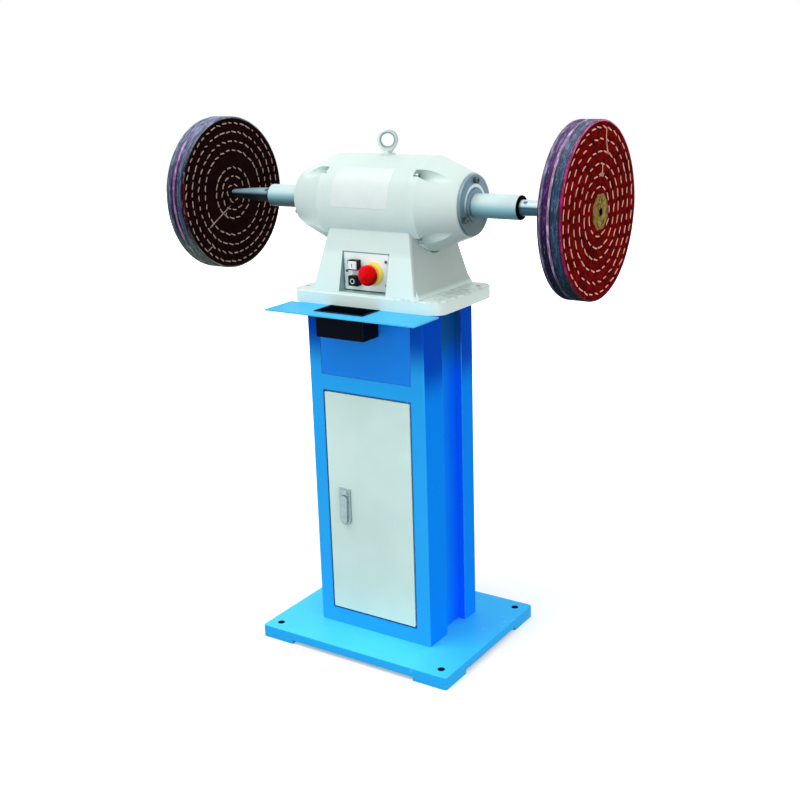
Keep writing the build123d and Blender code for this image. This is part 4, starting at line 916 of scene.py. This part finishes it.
def sewn_section(name, node, outward, wheel, finish, seed):
    """One sewn section as a closed skin round the spindle.

    The profile goes out along the plain face, over the rim and back in along the sewn face, which looks
    outward. Over the rim the radius follows a rounded shoulder, with a ridge for each group of plies, less a
    slow ripple in angle. On the sewn face the station follows the valleys along the stitches.
    """
    low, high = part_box(node)
    rim = (high[2] - low[2]) / 2
    plain, sewn = (low[0], high[0]) if outward > 0 else (high[0], low[0])
    turn = np.linspace(0, TURN, WHEEL_TURN, endpoint=False)[None, :]
    flat = np.linspace(WHEEL_BORE, rim - RIM_ROUND, WHEEL_PLAIN)[:, None]
    over = np.linspace(0, 1, WHEEL_RIM)[1:-1, None]
    face = np.linspace(rim - RIM_ROUND, WHEEL_BORE, WHEEL_FACE)[:, None]
    thick = abs(sewn - plain)
    inset = np.maximum(0, RIM_ROUND - thick * np.minimum(over, 1 - over))
    shoulder = RIM_ROUND - np.sqrt(np.maximum(0, RIM_ROUND ** 2 - inset ** 2))
    ridge = PLY_DEPTH * np.abs(np.sin(math.pi * PLY_GROUPS * over)) ** 0.6
    fray = RIM_FRAY * (1 + ripple(turn, over * 9, (7, 19, 41, 83), seed))
    rim_radius = rim - shoulder - PLY_DEPTH + ridge - fray
    rim_station = plain + (sewn - plain) * over + RIM_SWAY * ripple(turn, over * 3, (3, 8), seed + 1)
    uneven = FACE_RIPPLE * (1 + ripple(turn, face * 90, (5, 11, 23), seed + 2))
    edge_ease = FACE_EASE * ((face - WHEEL_BORE) / (rim - WHEEL_BORE)) ** 12
    drawn = valley(face, turn, wheel) + uneven + edge_ease
    points = np.concatenate([
        around_spindle(plain, flat, turn),
        around_spindle(rim_station, rim_radius, turn),
        around_spindle(sewn - outward * drawn, face, turn),
    ])
    made = piece(name, points, grid_faces(*points.shape[:2], True, True), finish, "spindle")
    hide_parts(node)


def thread_grid():
    """Places on a thread: from -1 to 1 along it, and the angle round it."""
    along = np.linspace(-1, 1, STITCH_STEPS)[None, :, None]
    around = np.linspace(0, TURN, STITCH_SIDES, endpoint=False)[None, None, :]
    return along, around


def stitch_row(middles, radii, halves, slants, station, outward, wheel):
    """Points of many stitches at once: an oval thread that rises from the cloth, runs on and dives back.

    Its section swells with the root of 1 less the fourth power of the place along it, from -1 to 1.
    """
    along, around = thread_grid()
    middles, radii, halves, slants = (run[:, None, None] for run in (middles, radii, halves, slants))
    swell = np.sqrt(np.maximum(0, 1 - along ** 4))
    angle = middles + halves * along
    centre = radii + slants * along
    radius = centre + STITCH_WIDTH / 2 * swell * np.cos(around)
    sunk = valley(centre, angle, wheel) + STITCH_SINK
    lift = STITCH_HEIGHT * (0.35 * (1 - along ** 2) + 0.5 * swell * np.sin(around))
    x = station + outward * (lift - sunk)
    uv = np.stack(np.broadcast_arrays(along * 0.5 + 0.5, around / TURN, x)[:2], axis=-1)
    return around_spindle(x, radius, angle), uv


def join_stitches(joins, station, outward):
    """Thread laid straight between two points of a face: an oval section carried along each line."""
    along, around = thread_grid()
    angle_0, radius_0, angle_1, radius_1 = (np.array(joins) * (DEGREE, MM, DEGREE, MM)).T[:, :, None, None]
    y0, z0 = radius_0 * np.cos(angle_0), radius_0 * np.sin(angle_0)
    y1, z1 = radius_1 * np.cos(angle_1), radius_1 * np.sin(angle_1)
    run = np.hypot(y1 - y0, z1 - z0)
    swell = np.sqrt(np.maximum(0, 1 - along ** 8)) * 0.8
    share = along * 0.5 + 0.5
    wide = STITCH_WIDTH / 2 * swell * np.cos(around)
    y = AXIS_Y + y0 + (y1 - y0) * share - (z1 - z0) / run * wide
    z = AXIS_Z + z0 + (z1 - z0) * share + (y1 - y0) / run * wide
    x = station + outward * STITCH_HEIGHT * (0.5 * swell * np.sin(around) - 0.28)
    uv = np.stack(np.broadcast_arrays(share * 3, around / TURN, x + y)[:2], axis=-1)
    return np.stack(np.broadcast_arrays(x, y, z), axis=-1), uv


def stitching(name, station, outward, wheel, finish, seed):
    """All the stitches on one face: rings of separate stitches, and the straight joins between two rings."""
    rng = np.random.default_rng(seed)
    counts = stitch_counts(wheel)
    total = counts.sum()
    radii = np.repeat(wheel.rings, counts) + rng.normal(0, RING_STRAY, total)
    starts = np.concatenate([np.arange(n) / n * TURN for n in counts])
    middles = starts + rng.normal(0, PLACE_STRAY, total) / radii
    halves = (wheel.stitch / 2 + rng.normal(0, LENGTH_STRAY, total)) / radii
    slants = outward * STITCH_SLANT + rng.normal(0, SLANT_STRAY, total)
    stitches, stitch_uv = stitch_row(middles, radii, halves, slants, station, outward, wheel)
    lines, line_uv = join_stitches(wheel.joins, station, outward)
    points = np.concatenate([stitches, lines])
    uv = np.concatenate([stitch_uv, line_uv])
    one = grid_faces(STITCH_STEPS, STITCH_SIDES, False, True)
    quads = repeated_faces(one, STITCH_STEPS * STITCH_SIDES, len(points))
    piece(name, points, quads, finish, "spindle", uv=uv)


def hub_leather(finish):
    """Both hub patches: an eight-sided washer, its edge worn uneven and its face slightly crumpled.

    Its outline is the distance of a flat over the cosine of the angle from the flat's middle, less a ripple in
    angle, and its face stands up by a share of the thickness that ripples too and falls off at the edge.
    """
    low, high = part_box("hub_patches")
    across = (high[2] - low[2]) / 2 * math.cos(TURN / 16) - PATCH_TRIM
    turn = np.linspace(0, TURN, PATCH_TURN, endpoint=False)[None, :]
    sector = np.mod(turn + TURN / 16, TURN / 8) - TURN / 16
    worn = PATCH_WEAR * (1 + ripple(turn, 0.0, (3, 7, 17), PATCH_EDGE_SEED))
    outline = across / np.cos(sector) * (1 - worn)
    share = np.linspace(0, 1, PATCH_STEPS)[:, None]
    reach = PATCH_HOLE + (outline - PATCH_HOLE) * share
    crumple = 0.78 + 0.2 * ripple(turn * 3, reach * 160, (1, 2, 5), PATCH_FACE_SEED)
    crown = PATCH_THICK * np.minimum(crumple - 0.5 * share ** 14, 1)
    shapes = []
    for base, outward in ((high[0] - PATCH_THICK, 1), (low[0] + PATCH_THICK, -1)):
        top = around_spindle(base + outward * crown, reach, turn)
        back = around_spindle(base, reach, turn)[::-1]
        shapes += [top, back]
    one = grid_faces(2 * PATCH_STEPS, PATCH_TURN, True, True)
    quads = repeated_faces(one, 2 * PATCH_STEPS * PATCH_TURN, 2)
    made = piece("hub_leather", np.concatenate(shapes), quads, finish, "spindle")
    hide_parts("hub_patches")


def barrel_plate(finish):
    """Bare plate bent round the barrel: a rounded rectangle in distance and angle, given a thickness."""
    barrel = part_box("end_bell_right")[1][2] - AXIS_Z
    half = (PLATE_X[1] - PLATE_X[0]) / 2
    centre = (PLATE_X[1] + PLATE_X[0]) / 2
    bottom, top = (a * DEGREE for a in PLATE_ANGLES)
    rise = np.linspace(-1, 1, PLATE_ROWS)[:, None]
    side = np.linspace(-1, 1, PLATE_COLUMNS)[None, :]
    tall = barrel * (top - bottom) / 2
    over = np.maximum(0, np.abs(rise) * tall - (tall - PLATE_CORNER))
    narrow = half - PLATE_CORNER + np.sqrt(np.maximum(0, PLATE_CORNER ** 2 - over ** 2))
    angle = math.pi - ((top + bottom) / 2 + rise * (top - bottom) / 2)
    x = centre + side * narrow
    front, back = (around_spindle(x, barrel + gap, angle) for gap in (PLATE_THICK, PLATE_GLUE))
    points = np.concatenate([front, back[:, ::-1]], axis=1)
    rows, columns = points.shape[:2]
    near = np.arange(PLATE_COLUMNS)
    far = columns - 1 - near
    end = np.stack([near[:-1], near[1:], far[1:], far[:-1]], axis=-1)
    skin = grid_faces(rows, columns, False, True).reshape(-1, 4)
    quads = np.concatenate([skin, end, end + (rows - 1) * columns])
    piece("barrel_plate", points, quads, finish, "stand_and_head", smooth=False)


def line_on_key(name, path, face_y, finish, body, closed):
    """A raised line on a face that looks to the front: a low oval section carried along a path in x and z."""
    ahead = np.roll(path, -1, axis=0) - np.roll(path, 1, axis=0)
    ends = np.ones(len(path))
    if not closed:
        ahead[0] = path[1] - path[0]
        ahead[-1] = path[-1] - path[-2]
        ends = np.sqrt(np.maximum(0, 1 - np.linspace(-1, 1, len(path)) ** 10))
    ahead = ahead / np.linalg.norm(ahead, axis=1, keepdims=True)
    spin = np.linspace(0, TURN, MARK_SIDES, endpoint=False)[None, :]
    wide = MARK_WIDTH / 2 * ends[:, None] * np.cos(spin)
    x = path[:, 0:1] - ahead[:, 1:2] * wide
    z = path[:, 1:2] + ahead[:, 0:1] * wide
    y = face_y - MARK_HEIGHT * ends[:, None] * (np.sin(spin) * 0.5 + 0.4)
    quads = grid_faces(len(path), MARK_SIDES, closed, True)
    piece(name, np.stack([x, y, z], axis=-1), quads, finish, body)


def key_marks(bar_finish, ring_finish):
    """The generic marks of the two keys: an upright bar on the start key and a ring on the stop key."""
    x, _, z = middle("start_button")
    up = np.linspace(-BAR_HALF, BAR_HALF, BAR_POINTS)
    bar = np.stack([np.full(BAR_POINTS, x), z + up], axis=-1)
    line_on_key("start_mark", bar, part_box("start_button")[0][1], bar_finish, "start_key", False)
    x, _, z = middle("stop_button")
    turn = np.linspace(0, TURN, RING_POINTS, endpoint=False)
    ring = np.stack([x + RING_RADIUS * np.cos(turn), z + RING_RADIUS * np.sin(turn)], axis=-1)
    line_on_key("stop_mark", ring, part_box("stop_button")[0][1], ring_finish, "stop_key", True)


# Stage

def looking(back):
    """Right, up and back axes of a camera or lamp that looks away from a direction, upright."""
    back = np.array(back) / np.linalg.norm(back)
    right = np.cross([0, 0, 1], back)
    right = right / np.linalg.norm(right)
    return right, np.cross(back, right), back


def placed(name, data, right, up, back, place):
    """A camera or lamp in the scene, by its axes and its place."""
    made = bpy.data.objects.new(name, data)
    made.matrix_world = Matrix([*np.stack([right, up, back, place], axis=1).tolist(), [0, 0, 0, 1]])
    bpy.context.scene.collection.objects.link(made)
    return made


def set_camera():
    """Camera at the photograph's place: off the target by azimuth, elevation and distance, then rolled."""
    a, e, r = (v * DEGREE for v in (CAMERA_AZIMUTH, CAMERA_ELEVATION, CAMERA_ROLL))
    right, up, back = looking([math.sin(a) * math.cos(e), -math.cos(a) * math.cos(e), math.sin(e)])
    rolled = math.cos(r) * right + math.sin(r) * up, math.cos(r) * up - math.sin(r) * right
    place = np.array(CAMERA_TARGET) + CAMERA_DISTANCE * back
    data = bpy.data.cameras.new("camera")
    data.lens = CAMERA_LENS
    data.sensor_width = SENSOR
    bpy.context.scene.camera = placed("camera", data, *rolled, back, place)


def softbox(name, place, target, size, power):
    """Square area lamp at a place, turned to face a target."""
    data = bpy.data.lights.new(name, "AREA")
    data.size = size
    data.energy = power
    placed(name, data, *looking(np.subtract(place, target)), place)


def set_world():
    """White where it is seen, a dimmer white where it lights the object."""
    world = bpy.data.worlds.new("studio")
    w = Nodes(world)
    glows = [{"Color": WHITE, "Strength": strength} for strength in (WORLD_LIGHT, 1.0)]
    dim, white = (w.node("ShaderNodeBackground", {}, glow) for glow in glows)
    mixed = w.node("ShaderNodeMixShader", {}, {0: w.seen_directly(), 1: dim, 2: white})
    w.node("ShaderNodeOutputWorld", {}, {"Surface": mixed})
    bpy.context.scene.world = world


def floor_finish():
    """Floor paint: pale where it is seen, with the object's shadow, and lifted to white further out.

    On the rays that only carry its light back to the object it is a middle grey.
    """
    material = bpy.data.materials.new("pale_floor")
    f = Nodes(material)
    place = f.node("ShaderNodeTexCoord", output="Object")
    reach = f.node("ShaderNodeVectorMath", {"operation": "LENGTH"}, {0: place}, output="Value")
    limits = dict(zip(("From Min", "From Max", "To Min", "To Max"), (*GLOW_REACH, *GLOW)))
    lift = f.node("ShaderNodeMapRange", {}, {"Value": reach, **limits})
    glow = f.node("ShaderNodeEmission", {}, {"Color": lift})
    pale, dim = (f.node("ShaderNodeBsdfDiffuse", {}, {"Color": colour}) for colour in (FLOOR_PALE, FLOOR_DIM))
    lifted = f.node("ShaderNodeAddShader", {}, {0: pale, 1: glow})
    mixed = f.node("ShaderNodeMixShader", {}, {0: f.seen_directly(), 1: dim, 2: lifted})
    f.node("ShaderNodeOutputMaterial", {}, {"Surface": mixed})
    return material


def set_floor():
    """Square floor round the object."""
    signs = np.array([[-1, -1, 0], [1, -1, 0], [1, 1, 0], [-1, 1, 0]], float)
    mesh = bpy.data.meshes.new("floor")
    mesh.from_pydata((FLOOR_HALF * signs).tolist(), [], [[0, 1, 2, 3]])
    mesh.materials.append(floor_finish())
    floor = bpy.data.objects.new("floor", mesh)
    bpy.context.scene.collection.objects.link(floor)


# Dressing the object

def stand_finishes():
    """Finishes of the stand, each with the nodes that wear it."""
    column_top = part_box("column_front")[1][2]
    # Painted shadow of the tray between two heights under the column's top.
    low_shade, high_shade = (column_top - drop for drop in SHADE_DROPS)
    # Box of the painted shade round the door's gap.
    gap = grown_box("cabinet_door", GAP_SHADE_MARGIN)
    recess_shade = low_shade - RECESS_DROP, high_shade
    blue = column_enamel("column_blue", COLUMN_BLUE, SHADED_WALL_BLUE, (low_shade, high_shade), TOP_SHADE_BLUE, gap=gap)
    # The recess webs go over to a deeper blue towards the back: painted shade.
    web = column_enamel("web_blue", SHADED_WALL_BLUE, RECESS_SHADE_BLUE, recess_shade, RECESS_TOP_SHADE, deepens=RECESS_DEEPENS)
    return [
        (plate_enamel("base_blue"), "base_plate"),
        (enamel("pad_blue", BASE_SHADE_BLUE, 0.4), "foot_pads"),
        (blue, "column_front column_back column_top_plate hinge_brackets"),
        (web, "column_web_left column_web_right"),
        (enamel("panel_blue", PANEL_BLUE), "upper_panel"),
        (enamel("tray_blue", TRAY_BLUE), "tray_plate"),
        (enamel("pot_black", POT_BLACK, 0.42, 0.12, 0.02), "compound_pot"),
        (enamel("door_mint", DOOR_MINT, 0.36), "cabinet_door"),
        (plated("zinc", ZINC, 0.4, 0.25), "latch_strike latch_cam latch_button"),
        # Latch case and handle: painted shade where they face right.
        (plated("latch_zinc", ZINC, 0.4, 0.25, 0.5), "latch_case latch_handle"),
    ]


def head_finishes():
    """Finishes of the head, each with the nodes that wear it."""
    # The oil colour, its share and its heights below the axis give each steel its painted shade underneath.
    flange = turned_steel(
        "flange_steel", FLANGE_STEEL, 0.4, 2.2 * MM, 0.3, FLANGE_UNDERSHADE, 1.0, (-0.45, 0.55),
        across=True, rubbed=0.1, ring=FLANGE_HIGHLIGHT_RING)
    sleeve = turned_steel(
        "sleeve_steel", SLEEVE_STEEL, 0.5, 2.4 * MM, 0.0, SLEEVE_UNDERSHADE, 0.92, (-0.3, 0.9), film=(-0.48, 0.12))
    sleeve_left = turned_steel(
        "sleeve_steel_left", SLEEVE_STEEL, 0.5, 2.4 * MM, 0.0, DARK_UNDERSHADE, 0.9, (-0.5, 0.7), film=(-0.5, -0.1))
    taper = turned_steel(
        "spindle_steel", SPINDLE_STEEL, 0.28, 1.8 * MM, 0.1, TEAL_UNDERSHADE, 1.0, (-0.38, -0.12))
    # The left taper is darker than the right: painted shade.
    taper_left = turned_steel(
        "spindle_steel_left", SHADED_SPINDLE_STEEL, 0.28, 1.8 * MM, 0.1, DARK_UNDERSHADE, 1.0, (-0.6, 0.0))
    eye = (*middle("eye_bolt")[:2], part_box("eye_bolt")[1][2] - EYE_RIM)
    return [
        (cast_enamel("cast_white", CAST_WHITE), "head_casting bearing_cap_left"),
        (cast_enamel("bell_white", BELL_WHITE), "end_bell_left end_bell_right"),
        (plated("zinc_screw", SCREW_ZINC, 0.3), "bell_screws"),
        (flange, "bearing_cap_right"),
        (sleeve, "sleeve_right"),
        (sleeve_left, "sleeve_left"),
        (soft_rubber("seal_rubber"), "sleeve_seals"),
        (iron_laminations("motor_iron"), "stator_core rotor_core"),
        (wound_copper("winding_copper"), "stator_windings"),
        (taper, "rotor_shaft taper_spindle_right"),
        (taper_left, "taper_spindle_left"),
        # Lifting ring: painted shade round its hole and where it faces right.
        (plated("eye_plating", EYE_ZINC, 0.3, 0.1, 0.5, (eye, EYE_HOLE, EYE_RIM)), "eye_bolt"),
    ]


def switch_finishes():
    """Finishes of the switch and the cable inlet, each with the nodes that wear it."""
    # Painted highlight and shade on the stop head.
    lit_and_shaded = middle("estop_head"), STOP_REACH, HIGHLIGHT_RED
    black = "switch_block button_bezels stop_button estop_stem cable_gland gland_locknut"
    return [
        (brushed_plate("switch_plate", SWITCH_GREY), "switch_panel"),
        (moulded("switch_black", KEY_BLACK, 0.35), black),
        (moulded("key_white", KEY_WHITE, 0.3), "start_button"),
        (moulded("stop_yellow", STOP_YELLOW, 0.3), "estop_collar"),
        (moulded("stop_red", STOP_RED, 0.22, 0.05, lit_and_shaded), "estop_head"),
    ]


def fastener_finishes():
    """Finishes of the screws, pins and bearings, each with the nodes that wear it."""
    bright = "hinge_pins casting_bolts casting_nuts bearing_outer_rings bearing_inner_rings bearing_balls"
    return [
        (plated("bright_screw", STEEL, 0.22), bright),
        (plated("black_screw", BLACK_STEEL, 0.3, 0.4), "cap_screws panel_screws"),
    ]


def dress_cad():
    """Give every CAD node its finish, with its loose triangles joined and its round faces shaded smooth."""
    for finish, names in stand_finishes() + head_finishes() + switch_finishes() + fastener_finishes():
        for name in names.split():
            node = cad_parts[name]
            node.data.materials.clear()
            node.data.materials.append(finish)
            node.data.polygons.foreach_set("use_smooth", np.ones(len(node.data.polygons), bool))
            weld = node.modifiers.new("join", "WELD")
            weld.merge_threshold = WELD_REACH
            split = node.modifiers.new("crease", "EDGE_SPLIT")
            split.split_angle = CREASE_ANGLE


def dress_wheels():
    """The sewn wheels: two sections each, the stitches on their faces and the hide patches at the hubs."""
    for wheel in (RIGHT_WHEEL, LEFT_WHEEL):
        thread = twisted_thread(f"thread_{wheel.side}", wheel.thread)
        sections = (
            ("inner", wheel.inner_plies, -wheel.sign, wheel.seed),
            ("outer", wheel.outer_plies, wheel.sign, wheel.seed + OUTER_SEED),
        )
        for place, plies, outward, seed in sections:
            section = f"{wheel.side}_{place}"
            node = f"buff_{section}"
            low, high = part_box(node)
            cloth = wheel_cloth(f"cloth_{section}", wheel, plies, low, high)
            sewn_section(f"sewn_{section}", node, outward, wheel, cloth, seed)
            station = high[0] if outward > 0 else low[0]
            stitching(f"stitches_{section}", station, outward, wheel, thread, seed + STITCH_SEED)
    hub_leather(hide("hub_hide"))


set_camera()
set_world()
set_floor()
softbox("key", *KEY_LAMP)
softbox("right_fill", *RIGHT_LAMP)
bpy.context.scene.view_settings.view_transform = "Standard"

dress_cad()
dress_wheels()
barrel_plate(bare_sheet("bare_plate"))
key_marks(moulded("mark_grey", MARK_GREY, 0.4), moulded("mark_white", MARK_WHITE, 0.35))
